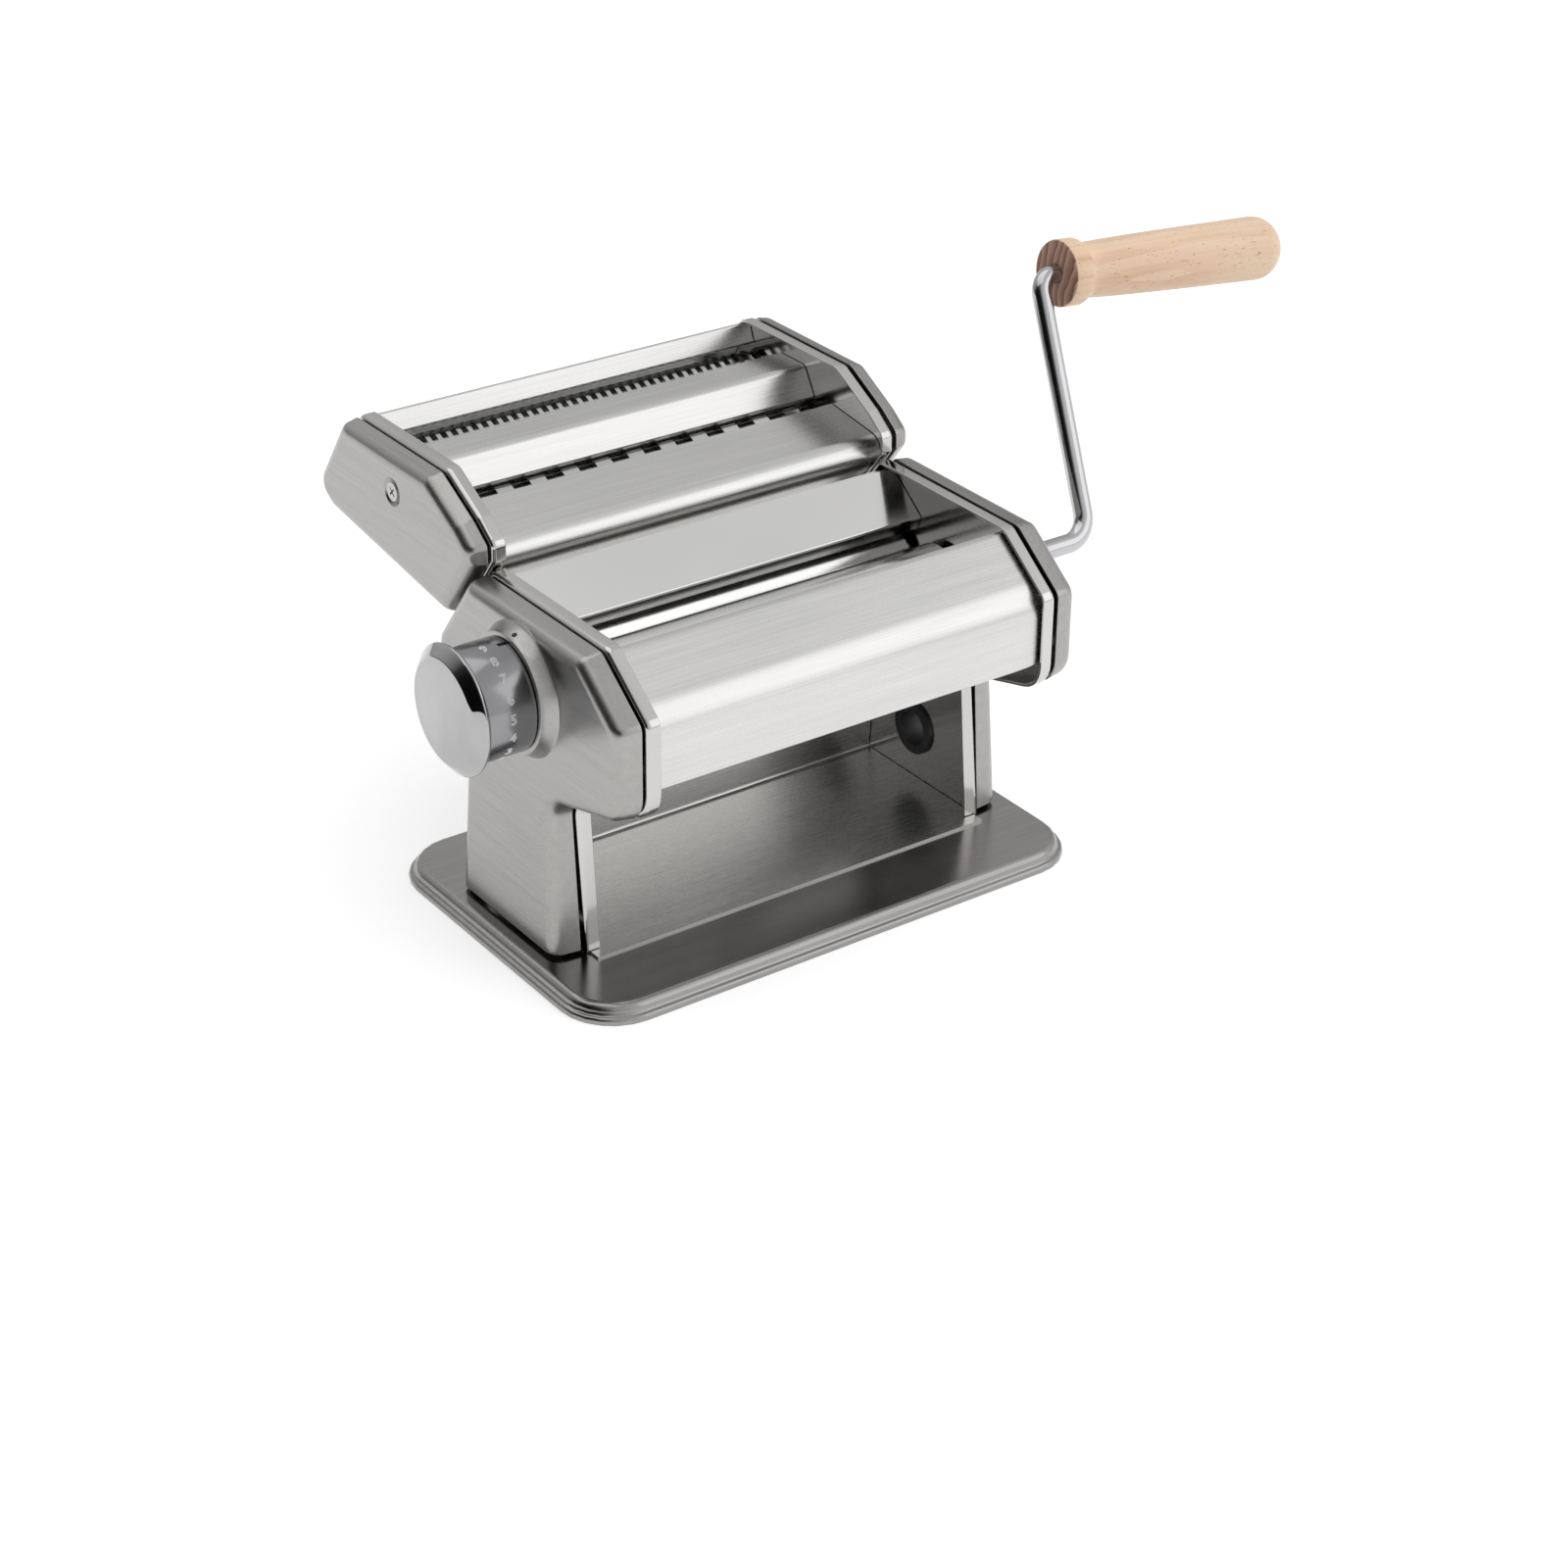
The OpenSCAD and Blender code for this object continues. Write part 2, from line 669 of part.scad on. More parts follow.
// ---- Gap adjustment ----
module adjuster_blocks() {
    color(dark) both_sides() difference() {
        union() {
            slab(web_in - 0.3, layer) translate([adjust_y - block, roller_z - block_low])
                square([2 * block, block + block_low]);
            slab(web_out + 0.3, layer) translate([adjust_y - block, roller_z - block_low - 2])
                square([2 * block, block + block_low + 4]);
        }
        bar(journal_r + fit, web_in - 1, layer + 1, adjust_y, roller_z);
    }
}

cam_base = cam_r - adjust_travel;
pad_y = dial_y + cam_base + 0.3;
module adjuster_link() {
    color(bright) mirror([1, 0, 0]) difference() {
        union() {
            slab(layer, layer + 2.5) translate([pad_y, roller_z + 4])
                square([adjust_y + block - pad_y, 8]);
            slab(layer, layer + 6) translate([pad_y, roller_z + 4]) square([3, 11]);
            bar(journal_r + 4, layer, layer + 2.5, adjust_y, roller_z);
        }
        bar(journal_r + 0.6, layer - 1, layer + 10, adjust_y, roller_z);
    }
}

// ---- Thickness dial ----
knob_end = face_x + boss_h + 0.3 + barrel_len;
module dial_spindle() {
    cam = [for (a = [-30:10:220]) let(r = cam_base + adjust_travel * max(0, min(180, a)) / 180)
        r * [cos(a), sin(a)]];
    color(bright) mirror([1, 0, 0]) {
        bar(spindle_r, layer + 0.4, knob_end + 2, dial_y, dial_z);
        slab(layer + 0.4, layer + 6) translate([dial_y, dial_z]) polygon(cam);
    }
}

module dial_bush() {
    wall = face_x + boss_h - cover_t;
    color(dark) mirror([1, 0, 0]) difference() {
        union() {
            bar(spindle_r + 4, wall - 2, wall, dial_y, dial_z);
            bar(spindle_r + 2, wall - overlap, wall + cover_t, dial_y, dial_z);
        }
        bar(spindle_r + fit, wall - 3, wall + 3, dial_y, dial_z);
    }
}

module dial_barrel() {
    color(bright) mirror([1, 0, 0])
        tube(barrel_r, barrel_r - 1.5, knob_end - barrel_len, knob_end, dial_y, dial_z);
}

module dial_knob() {
    profile = [[spindle_r, knob_end - 8], [spindle_r + 2.5, knob_end - 8],
               [spindle_r + 2.5, knob_end], [barrel_r, knob_end], [rim_r - 0.6, knob_end + 1],
               [rim_r, knob_end + 2], [rim_r - 0.5, knob_end + 2.9],
               [face_r + 0.8, knob_end + 5.2], [face_r, knob_end + 5.6], [0, knob_end + 6],
               [0, knob_end + 2], [spindle_r, knob_end + 2]];
    color(bright) mirror([1, 0, 0]) turned(profile, dial_y, dial_z);
}

// ---- Crank ----
arm_x = face_x + arm_out;
low_sweep = 90 - arm_lean;
low_run = low_bend * tan(low_sweep / 2);
straight = arm_len - low_run - top_bend;
crank_in = arm_x - low_run - face_x - 1.5 + crank_depth;

module crank_place() {
    translate([0, drive_y, roller_z]) rotate([-arm_swing, 0, 0])
        translate([arm_x - low_run, 0, 0]) children();
}

module handle_place() {
    crank_place() past_bend(low_bend, low_sweep, 1) translate([straight, 0, 0])
        past_bend(top_bend, 90, -1) children();
}

module crank_arm() {
    color(bright) {
        crank_place() {
            bar(bar_r, -crank_in, bend_lap, 0, 0);
            bend(low_bend, low_sweep, 1);
            past_bend(low_bend, low_sweep, 1) {
                bar(bar_r, -bend_lap, straight + bend_lap, 0, 0);
                translate([straight, 0, 0]) bend(top_bend, 90, -1);
            }
        }
        handle_place() bar(bar_r, -bend_lap, handle_gap + handle_len - 12, 0, 0);
    }
}

module crank_handle() {
    start = handle_gap;
    end = start + handle_len;
    dome = [for (a = [0:15:90]) [handle_r - 9 + 9 * cos(a), end - 9 + 9 * sin(a)]];
    profile = concat([[bar_r + fit, start], [handle_flange - 1.2, start],
        [handle_flange, start + 1.2], [handle_flange, start + 8], [handle_flange - 1, start + 9],
        [handle_neck, start + 9.6], [handle_neck, start + 20], [handle_r - 0.5, start + 55]],
        dome, [[0, end], [0, end - 11.5], [bar_r + fit, end - 11.5]]);
    color(beech) handle_place() turned(profile, 0, 0);
}

// ---- Cutter unit ----
module cutter_plate() {
    difference() {
        union() {
            pan(cutter_outline, -200);
            bar(3.5, web_out - overlap, web_out + cutter_out - 2.2, screw_y, screw_z);
        }
        for (s = [-0.5, 0.5]) {
            bar(cutter_bush, web_in - 1, web_out + 1, wide_y + s * ring_d, wide_z);
            bar(cutter_bush, web_in - 1, web_out + 1, narrow_y + s * ring_d, narrow_z);
        }
        for (p = cutter_rods) bar(screw_r, web_in - 1, web_out + 1, p[0], p[1]);
        bar(screw_r, web_in, web_out + cutter_out, screw_y, screw_z);
    }
}

module cutter_left_plate() {
    color(bright) mirror([1, 0, 0]) cutter_plate();
}

module cutter_right_plate() {
    color(bright) cutter_plate();
}

// Cover with the dished seat of its screw
module cutter_cover() {
    seat = web_out + cutter_out;
    difference() {
        union() {
            cover_shell(cutter_outline, cutter_out, []);
            bar(5.5, seat - 2.2, seat - cover_t + overlap, screw_y, screw_z);
        }
        translate([seat - 1.2, screw_y, screw_z]) rotate([0, 90, 0])
            cylinder(r1 = 3.4, r2 = 5, h = 1.2 + overlap);
        bar(screw_r, seat - 5, seat, screw_y, screw_z);
    }
}

module cutter_left_cover() {
    color(steel) mirror([1, 0, 0]) cutter_cover();
}

module cutter_right_cover() {
    color(steel) difference() {
        cutter_cover();
        bar(cutter_journal + 0.4, face_x - 20, face_x + 5, wide_y - ring_d / 2, wide_z);
        bar(cutter_journal + 0.4, face_x - 20, face_x + 5, narrow_y - ring_d / 2, narrow_z);
    }
}

module cutter_rear_plate() {
    c = inset(cutter_outline, sheet_drop);
    over = narrow_z + ring_r;
    lip_y = narrow_y + ring_r + 1.9;
    color(steel) folded([[c[3][0] - 0.3, c[3][1] - 4, 0], c[3],
                         [each on_line(c[3], c[4], over + 3.6), 1.5], [lip_y, over + 1.5, 0.9],
                         [lip_y, over + 0.4, 0]], sheet_t, inside);
}

module cutter_bridge_plate() {
    top = cutter_top - 7.8;
    back = narrow_y - ring_r - 0.5;
    color(steel) folded([[back, narrow_z + ring_r + 1, 0], [back, top, 1],
                         [wide_y + ring_r + 3, top, 3], [wide_y + ring_r - 3, wide_z + ring_r + 2, 1],
                         [wide_y + ring_r - 1.7, wide_z + ring_r + 0.5, 0]], sheet_t, inside);
}

module cutter_front_cover() {
    low = ride_at(head_top - 18, sheet_drop);
    nose = ride_at(head_top + 3, sheet_drop);
    over = wide_z + ring_r;
    lip_y = wide_y - ring_r + 3.5;
    color(steel) folded([[lip_y, over + 0.9, 0], [lip_y, over + 3, 1],
                         [nose[0] + 8, head_top + 7, 7], [each nose, 3], [each low, 0]],
                        sheet_t, inside);
}

module cutter_tie_rods() {
    color(bright) {
        rods(cutter_rods);
        rod_screws(cutter_rods);
    }
}

module cutter_cover_screws() {
    seat = web_out + cutter_out - 1.2;
    color(bright) both_sides() difference() {
        union() {
            bar(3.2, seat, seat + 1.2, screw_y, screw_z);
            bar(screw_r, seat - 6, seat + overlap, screw_y, screw_z);
        }
        for (a = [45, 135]) translate([seat + 0.4, screw_y, screw_z]) rotate([a, 0, 0])
            translate([0, -1.9, -0.3]) cube([2, 3.8, 0.6]);
    }
}

module cutter_bushes() {
    color(dark) both_sides() for (s = [-0.5, 0.5]) {
        tube(cutter_bush, cutter_journal + fit, web_in - 0.3, web_out + 1, wide_y + s * ring_d,
             wide_z);
        tube(cutter_bush, cutter_journal + fit, web_in - 0.3, web_out + 1,
             narrow_y + s * ring_d, narrow_z);
    }
}

// Places of the rings of one cutter roller: side is -1 for the front roller, 1 for the rear
function ring_count(pitch) = floor((2 * ring_end - pitch / 2) / pitch);
function ring_x(pitch, side, i) = (i - (ring_count(pitch) - 1) / 2 + side * 0.25) * pitch;

module cutter_roller(y, z, pitch, side, reach) {
    w = pitch / 2 - ring_gap;
    rings = [for (i = [0:ring_count(pitch) - 1]) let(x = ring_x(pitch, side, i) - w / 2)
        each [[core_r, x], [ring_r, x], [ring_r, x + w], [core_r, x + w]]];
    profile = concat([[0, -ring_end], [core_r, -ring_end]], rings,
                     [[core_r, ring_end], [0, ring_end]]);
    color(bright) difference() {
        union() {
            turned(profile, y, z);
            bar(cutter_journal, -web_out - 1.5, reach, y, z);
        }
        bar(bar_r + fit, reach - crank_depth, reach + 1, y, z);
    }
}

// Comb strip with a finger in each groove of a cutter roller
module comb(y, z, pitch, side) {
    back = ring_r + 1;
    slab(-web_in, web_in) translate([side > 0 ? y + back : y - back - 1, z - 9])
        square([1, 7]);
    w = pitch / 2 - 0.9;
    for (i = [0:ring_count(pitch) - 2]) translate([ring_x(pitch, side, i) + (pitch - w) / 2,
        side > 0 ? y + core_r + 0.4 : y - back - overlap, z - 4])
        cube([w, back - core_r - 0.4 + overlap, 1]);
}

module combs(y, z, pitch) {
    for (side = [-1, 1]) comb(y + side * ring_d / 2, z, pitch, side);
}

module wide_combs() {
    color(bright) combs(wide_y, wide_z, wide_pitch);
}

module narrow_combs() {
    color(bright) combs(narrow_y, narrow_z, narrow_pitch);
}

// Hooked lugs that run in the open joint between plate and cover
module guide_lugs() {
    tip = ride_at(head_top - 3, -5);
    root = ride_at(head_top - 3, 4);
    color(bright) both_sides() slab(web_out, web_out + 0.8)
        polygon([ride_at(head_top - 8, 4), ride_at(head_top + 1, 4), ride_at(head_top + 1, 1)]);
}

cutter_reach = web_out + cutter_out;
short_reach = web_out + 2.4 + gear_w;
module wide_cutter_front() {
    cutter_roller(wide_y - ring_d / 2, wide_z, wide_pitch, -1, cutter_reach);
}

module wide_cutter_rear() {
    cutter_roller(wide_y + ring_d / 2, wide_z, wide_pitch, 1, short_reach);
}

module narrow_cutter_front() {
    cutter_roller(narrow_y - ring_d / 2, narrow_z, narrow_pitch, -1, cutter_reach);
}

module narrow_cutter_rear() {
    cutter_roller(narrow_y + ring_d / 2, narrow_z, narrow_pitch, 1, short_reach);
}

module cutter_gear(y, z, phase) {
    color(bright) gear(y, z, web_out + 1.6, cutter_teeth, ring_d / 2 + 1.1, ring_d / 2 - 1.4,
                       cutter_journal, phase);
}

module wide_gear_front() {
    cutter_gear(wide_y - ring_d / 2, wide_z, 0);
}

module wide_gear_rear() {
    cutter_gear(wide_y + ring_d / 2, wide_z, 0.5);
}

module narrow_gear_front() {
    cutter_gear(narrow_y - ring_d / 2, narrow_z, 0);
}

module narrow_gear_rear() {
    cutter_gear(narrow_y + ring_d / 2, narrow_z, 0.5);
}

base_tray();
rubber_feet();
base_screws();
left_side_plate();
right_side_plate();
left_side_cover();
right_side_cover();
exit_tray();
front_cover();
feed_plate();
rear_cover();
front_scraper();
rear_scraper();
tie_rods();
tie_rod_screws();
clamp_bush();
drive_bushes();
drive_roller();
drive_gear();
crank_arm();
crank_handle();
adjuster_blocks();
adjuster_link();
adjustable_roller();
adjustable_gear();
dial_spindle();
dial_barrel();
dial_knob();
dial_bush();
cutter_left_plate();
cutter_right_plate();
cutter_left_cover();
cutter_right_cover();
cutter_rear_plate();
cutter_bridge_plate();
cutter_front_cover();
cutter_tie_rods();
cutter_cover_screws();
cutter_bushes();
wide_combs();
narrow_combs();
guide_lugs();
wide_cutter_front();
wide_cutter_rear();
narrow_cutter_front();
narrow_cutter_rear();
wide_gear_front();
wide_gear_rear();
narrow_gear_front();
narrow_gear_rear();
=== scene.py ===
import bpy
import bmesh
import json
import math
from mathutils import Matrix, Vector


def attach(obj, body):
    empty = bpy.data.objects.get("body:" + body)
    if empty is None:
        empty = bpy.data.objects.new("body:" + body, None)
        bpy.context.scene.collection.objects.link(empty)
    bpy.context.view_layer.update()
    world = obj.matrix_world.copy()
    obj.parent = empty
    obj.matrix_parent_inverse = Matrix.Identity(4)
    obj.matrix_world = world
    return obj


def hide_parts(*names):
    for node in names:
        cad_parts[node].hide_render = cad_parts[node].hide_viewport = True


# lengths are in metres, but side outlines, presses and sheet folds are in millimetres
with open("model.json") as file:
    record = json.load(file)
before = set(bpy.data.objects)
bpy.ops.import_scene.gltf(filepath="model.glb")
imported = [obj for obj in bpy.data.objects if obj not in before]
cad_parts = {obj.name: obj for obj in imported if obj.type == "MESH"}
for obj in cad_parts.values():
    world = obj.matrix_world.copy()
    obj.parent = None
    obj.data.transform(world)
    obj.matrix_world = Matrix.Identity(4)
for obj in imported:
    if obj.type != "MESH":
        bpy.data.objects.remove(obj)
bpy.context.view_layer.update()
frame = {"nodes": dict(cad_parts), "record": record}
nodes = frame["nodes"]
record = frame["record"]
bodyOf = {node: body for body, names in record["behaviour"]["bodies"].items() for node in names}
print("frame loaded,", len(nodes), "nodes")


class Wire:
    # an output in a node tree; arithmetic on it adds Math nodes
    def __init__(self, owner, socket):
        self.owner = owner
        self.socket = socket

    def parts(self, *keys):
        # other outputs of the same node
        return [Wire(self.owner, self.socket.node.outputs[key]) for key in keys]

    def math(self, operation, first, second=0.0):
        return self.owner.node("ShaderNodeMath", {"operation": operation}, {0: first, 1: second})

    def __add__(self, other):
        return self.math("ADD", self, other)

    def __radd__(self, other):
        return self.math("ADD", other, self)

    def __sub__(self, other):
        return self.math("SUBTRACT", self, other)

    def __rsub__(self, other):
        return self.math("SUBTRACT", other, self)

    def __mul__(self, other):
        return self.math("MULTIPLY", self, other)

    def __rmul__(self, other):
        return self.math("MULTIPLY", other, self)

    def __gt__(self, other):
        return self.math("GREATER_THAN", self, other)


class Tree:
    # a node tree; node() adds one node from its type, settings and sockets
    def __init__(self, group):
        self.group = group

    def node(self, kind, settings=None, sockets=None, out=0):
        made = self.group.nodes.new(kind)
        for key, value in (settings or {}).items():
            if key == "stops":
                self.setStops(made.color_ramp, value)
            else:
                setattr(made, key, value)
        for key, value in (sockets or {}).items():
            for each in value if isinstance(value, list) and isinstance(value[0], Wire) else [value]:
                if isinstance(each, Wire):
                    self.group.links.new(each.socket, made.inputs[key])
                else:
                    made.inputs[key].default_value = each
        return Wire(self, made.outputs[out])

    def setStops(self, ramp, stops):
        while len(ramp.elements) < len(stops):
            ramp.elements.new(0.5)
        for element, (position, colour) in zip(ramp.elements, stops):
            element.position = position
            element.color = (*colour, 1)


class Paint(Tree):
    # a material with one Principled shader
    def __init__(self, name, **sockets):
        self.material = bpy.data.materials.new(name)
        self.material.use_nodes = True
        super().__init__(self.material.node_tree)
        self.shader = self.group.nodes["Principled BSDF"]
        self.place = self.node("ShaderNodeTexCoord", out="Object")
        for label, value in sockets.items():
            self.feed(label.replace("_", " "), value)

    def feed(self, label, value):
        socket = self.shader.inputs[label]
        if isinstance(value, Wire):
            self.group.links.new(value.socket, socket)
        elif isinstance(value, tuple):
            socket.default_value = (*value, 1)
        else:
            socket.default_value = value

    def noise(self, stretch, detail=3.0, roughness=0.55, seed=0.0, source=None):
        # stretch is how many blobs there are to a metre along x, y and z
        spread = self.node("ShaderNodeMapping", {}, {"Vector": source or self.place, "Scale": stretch,
                                                     "Location": (seed, seed * 0.7, seed * 1.3)})
        return self.node("ShaderNodeTexNoise", {}, {"Vector": spread, "Scale": 1.0, "Detail": detail,
                                                    "Roughness": roughness})

    def ramp(self, value, stops):
        return self.node("ShaderNodeValToRGB", {"stops": stops}, {"Fac": value})

    def blend(self, amount, first, second):
        return self.node("ShaderNodeMix", {"data_type": "RGBA"}, {0: amount, 6: first, 7: second}, out=2)

    def bump(self, height, strength, distance):
        self.feed("Normal", self.node("ShaderNodeBump", {}, {"Strength": strength, "Distance": distance,
                                                             "Height": height}))


class Growth(Tree):
    # a Geometry Nodes tree with named inputs
    sorts = {float: "NodeSocketFloat", int: "NodeSocketInt", bpy.types.Material: "NodeSocketMaterial"}

    def __init__(self, name, **values):
        super().__init__(bpy.data.node_groups.new(name, "GeometryNodeTree"))
        self.values = values
        panel = self.group.interface
        panel.new_socket("Geometry", in_out="INPUT", socket_type="NodeSocketGeometry")
        for label, value in values.items():
            panel.new_socket(label, in_out="INPUT", socket_type=self.sorts[type(value)])
        panel.new_socket("Geometry", in_out="OUTPUT", socket_type="NodeSocketGeometry")
        self.entry = self.group.nodes.new("NodeGroupInput")

    def given(self, label):
        return Wire(self, self.entry.outputs[label])

    def end(self, geometry):
        plain = self.node("GeometryNodeRealizeInstances", {}, {0: geometry})
        dressed = self.node("GeometryNodeSetMaterial", {}, {"Geometry": plain,
                                                            "Material": self.given("material")})
        outlet = self.group.nodes.new("NodeGroupOutput")
        self.group.links.new(dressed.socket, outlet.inputs[0])

    def grow(self, mesh, **changes):
        # runs the tree over a mesh and gives back the plain result
        carrier = placedObject("carrier", mesh)
        modifier = carrier.modifiers.new("growth", "NODES")
        modifier.node_group = self.group
        for socket in self.group.interface.items_tree:
            if socket.in_out == "INPUT" and socket.name in self.values:
                modifier[socket.identifier] = changes.get(socket.name, self.values[socket.name])
        return settled(carrier)


def placedObject(name, data):
    made = bpy.data.objects.new(name, data)
    bpy.context.scene.collection.objects.link(made)
    return made


def settled(carrier):
    # the carrier's mesh with its modifiers worked in; the carrier goes
    bpy.context.view_layer.update()
    shown = carrier.evaluated_get(bpy.context.evaluated_depsgraph_get())
    mesh = bpy.data.meshes.new_from_object(shown)
    carrier.modifiers.clear()
    bpy.data.objects.remove(carrier)
    return mesh


def addPiece(name, mesh, material, replaced, extra=False):
    # the piece rides as the nodes it stands for, or sits on
    mesh.materials.clear()
    mesh.materials.append(material)
    mesh.name = name
    piece = placedObject(name, mesh)
    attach(piece, bodyOf[replaced[0]])
    if not extra:
        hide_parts(*replaced)


# metals
def brushedSheet(name, look):
    # sheet brushed along one axis: long streaks in shade, gloss and height
    paint = Paint(name, Metallic=1.0)

    def along(length, fine):
        return [length if axis == look["along"] else fine for axis in "xyz"]

    fine = paint.noise(along(look["length"], look["fine"]), 2.0, 0.6)
    broad = paint.noise(along(look["length"] * 0.4, look["fine"] * 0.12), 2.0, 0.5, 3.1)
    scuff = paint.noise(along(look["length"] * 2.5, look["fine"] * 0.5), 3.0, 0.7, 6.3)
    cloud = paint.noise((14, 14, 14), 3.0, 0.5, 7.7)
    streak = fine * 0.65 + broad * 0.35
    paint.feed("Base Color", paint.ramp(streak * 0.8 + cloud * 0.2,
                                        [(0.30, look["dark"]), (0.70, look["light"])]))
    paint.feed("Roughness", streak * 0.12 + cloud * 0.05 + (scuff > 0.7) * 0.04 + look["gloss"])
    paint.bump(streak + (scuff > 0.72) * 0.1, look["bump"], 0.0002)
    return paint.material


def polishedSteel(name, look):
    # nearly a mirror, with faint wipe marks and hairline scratches
    paint = Paint(name, Metallic=1.0)
    wipe = paint.noise((35, 70, 50), 4.0, 0.6)
    haze = paint.noise((12, 12, 12), 2.0, 0.5, 5.0)
    hair = paint.noise((240, 900, 60), 2.0, 0.7, 2.2)
    paint.feed("Base Color", paint.ramp(haze, [(0.3, look["dark"]), (0.7, look["light"])]))
    paint.feed("Roughness", wipe * look["wipe"] + haze * 0.04 + (hair > 0.66) * 0.06 + look["gloss"])
    paint.bump(wipe + hair * 0.2, look["bump"], 0.0003)
    return paint.material


brushedLook = {"along": "x", "length": 26, "fine": 3000, "bump": 0.14, "gloss": 0.18,
               "dark": (0.56, 0.555, 0.545), "light": (0.70, 0.695, 0.685)}
# painted shade: the side covers, cutter covers and dial boss use a darker copy of the brushed sheet,
# standing in for the shadowed floor they reflect
coverLookPaintedShade = {**brushedLook, "along": "y", "length": 34, "bump": 0.16, "gloss": 0.20,
             "dark": (0.32, 0.312, 0.303), "light": (0.43, 0.421, 0.41)}
sheetSteel = brushedSheet("sheetBrushedLengthwise", brushedLook)
coverSteelPaintedShade = brushedSheet("coverBrushedAcross", coverLookPaintedShade)
# painted shade: the base tray is a darker copy of the brushed sheet, for the shade it lies in under the
# machine
baseSteelPaintedShade = brushedSheet("baseBrushedLengthwise", {**brushedLook, "gloss": 0.13, "bump": 0.1,
                                                   "dark": (0.27, 0.264, 0.259),
                                                   "light": (0.38, 0.372, 0.366)})
plateSteel = polishedSteel("plateBrightPolish", {"wipe": 0.08, "gloss": 0.07, "bump": 0.02,
                                                 "dark": (0.50, 0.49, 0.48), "light": (0.62, 0.61, 0.60)})
smoothSteel = polishedSteel("feedPlateSatin", {"wipe": 0.04, "gloss": 0.10, "bump": 0.006,
                                               "dark": (0.63, 0.625, 0.62), "light": (0.70, 0.695, 0.69)})
# painted shade: the barrel's chrome is much darker than the crank's, standing in for the dark reflections
# on it
dialChrome = polishedSteel("dialChrome", {"wipe": 0.05, "gloss": 0.14, "bump": 0.015,
                                          "dark": (0.25, 0.25, 0.26), "light": (0.33, 0.33, 0.34)})
# painted highlight: the raised digits are a much lighter copy of the barrel's chrome, so they show as
# bright glints
digitSteelPaintedHighlight = polishedSteel("digitRaised", {"wipe": 0.08, "gloss": 0.34, "bump": 0.02,
                                           "dark": (0.80, 0.80, 0.80), "light": (0.92, 0.92, 0.92)})
crankChrome = polishedSteel("crankChrome", {"wipe": 0.05, "gloss": 0.09, "bump": 0.02,
                                            "dark": (0.44, 0.44, 0.45), "light": (0.54, 0.54, 0.55)})
rollerSteel = polishedSteel("rollerGround", {"wipe": 0.12, "gloss": 0.13, "bump": 0.08,
                                             "dark": (0.66, 0.66, 0.65), "light": (0.80, 0.79, 0.78)})
ringSteel = polishedSteel("cutterRingSteel", {"wipe": 0.10, "gloss": 0.14, "bump": 0.05,
                                              "dark": (0.50, 0.50, 0.50), "light": (0.66, 0.65, 0.64)})
zincSteel = polishedSteel("fastenerZinc", {"wipe": 0.12, "gloss": 0.22, "bump": 0.15,
                                           "dark": (0.46, 0.46, 0.46), "light": (0.62, 0.61, 0.60)})


# plastic, rubber and wood
def mouldedPlastic(name, shade, gloss):
    paint = Paint(name, Specular_IOR_Level=0.5)
    grain = paint.noise((1200, 1200, 1200), 2.0, 0.5)
    haze = paint.noise((60, 60, 60), 3.0, 0.6, 2.0)
    paint.feed("Base Color", paint.ramp(haze, [(0.3, tuple(c * 0.6 for c in shade)), (0.7, shade)]))
    paint.feed("Roughness", haze * 0.15 + gloss)
    paint.bump(grain, 0.15, 0.0002)
    return paint.material


bushPlastic = mouldedPlastic("bushPlastic", (0.035, 0.035, 0.037), 0.3)
footRubber = mouldedPlastic("footRubber", (0.03, 0.03, 0.03), 0.65)
# painted shade: a near-black finish for the index pit, in place of the shade inside a recess
pitPaintedShade = mouldedPlastic("notchDark", (0.012, 0.012, 0.012), 0.5)


beech = {"ringsPerMetre": 270, "wander": 2.4, "endDepth": 0.0007, "fleck": (0.36, 0.18, 0.09, 1),
         "side": [(0.30, (0.72, 0.45, 0.285)), (0.52, (0.92, 0.66, 0.46)), (0.78, (0.97, 0.78, 0.585))],
         "sawn": [(0.2, (0.26, 0.13, 0.09)), (0.5, (0.46, 0.255, 0.19)), (0.85, (0.66, 0.41, 0.31))]}


def turnedBeech():
    # growth rings seen along the bar and on its sawn end, with short dark flecks
    paint = Paint("handleBeech", Coat_Weight=0.03)
    grain = paint.node("ShaderNodeAttribute", {"attribute_name": "grain"}, out="Vector")
    along, across, up = paint.node("ShaderNodeSeparateXYZ", {}, {"Vector": grain}).parts(0, 1, 2)
    wander = paint.noise((9, 60, 60), 3.0, 0.5, 1.0, grain)
    growth = (across * 0.8 + up * 0.6) * beech["ringsPerMetre"] + wander * beech["wander"]
    ring = growth.math("FRACT", growth)
    tint = paint.noise((14, 160, 160), 3.0, 0.55, 5.0, grain)
    warmth = paint.noise((20, 45, 45), 2.0, 0.5, 9.0, grain)
    fleck = paint.noise((330, 2400, 1500), 2.0, 0.6, 4.0, grain)
    side = paint.ramp(tint * 0.65 + ring * 0.14 + warmth * 0.3, beech["side"])
    spots = paint.ramp(fleck, [(0.29, (1, 1, 1)), (0.36, (0, 0, 0))])
    body = paint.blend(spots * 0.7, side, beech["fleck"])
    pores = paint.noise((500, 1500, 1500), 2.0, 0.6, 6.0, grain)
    sawn = paint.ramp(ring * 0.7 + pores * 0.3, beech["sawn"])
    atEnd = 1 - (along > beech["endDepth"])
    paint.feed("Base Color", paint.blend(atEnd, body, sawn))
    paint.feed("Roughness", 0.60 - tint * 0.16 + atEnd * 0.2)
    paint.bump(tint * 0.4 - spots * 0.25 + atEnd * ring * 0.3, 0.2, 0.0003)
    return paint.material


handleBeech = turnedBeech()
print("finishes mixed")


# forms
def meshOf(form):
    mesh = bpy.data.meshes.new("form")
    form.to_mesh(mesh)
    form.free()
    return mesh


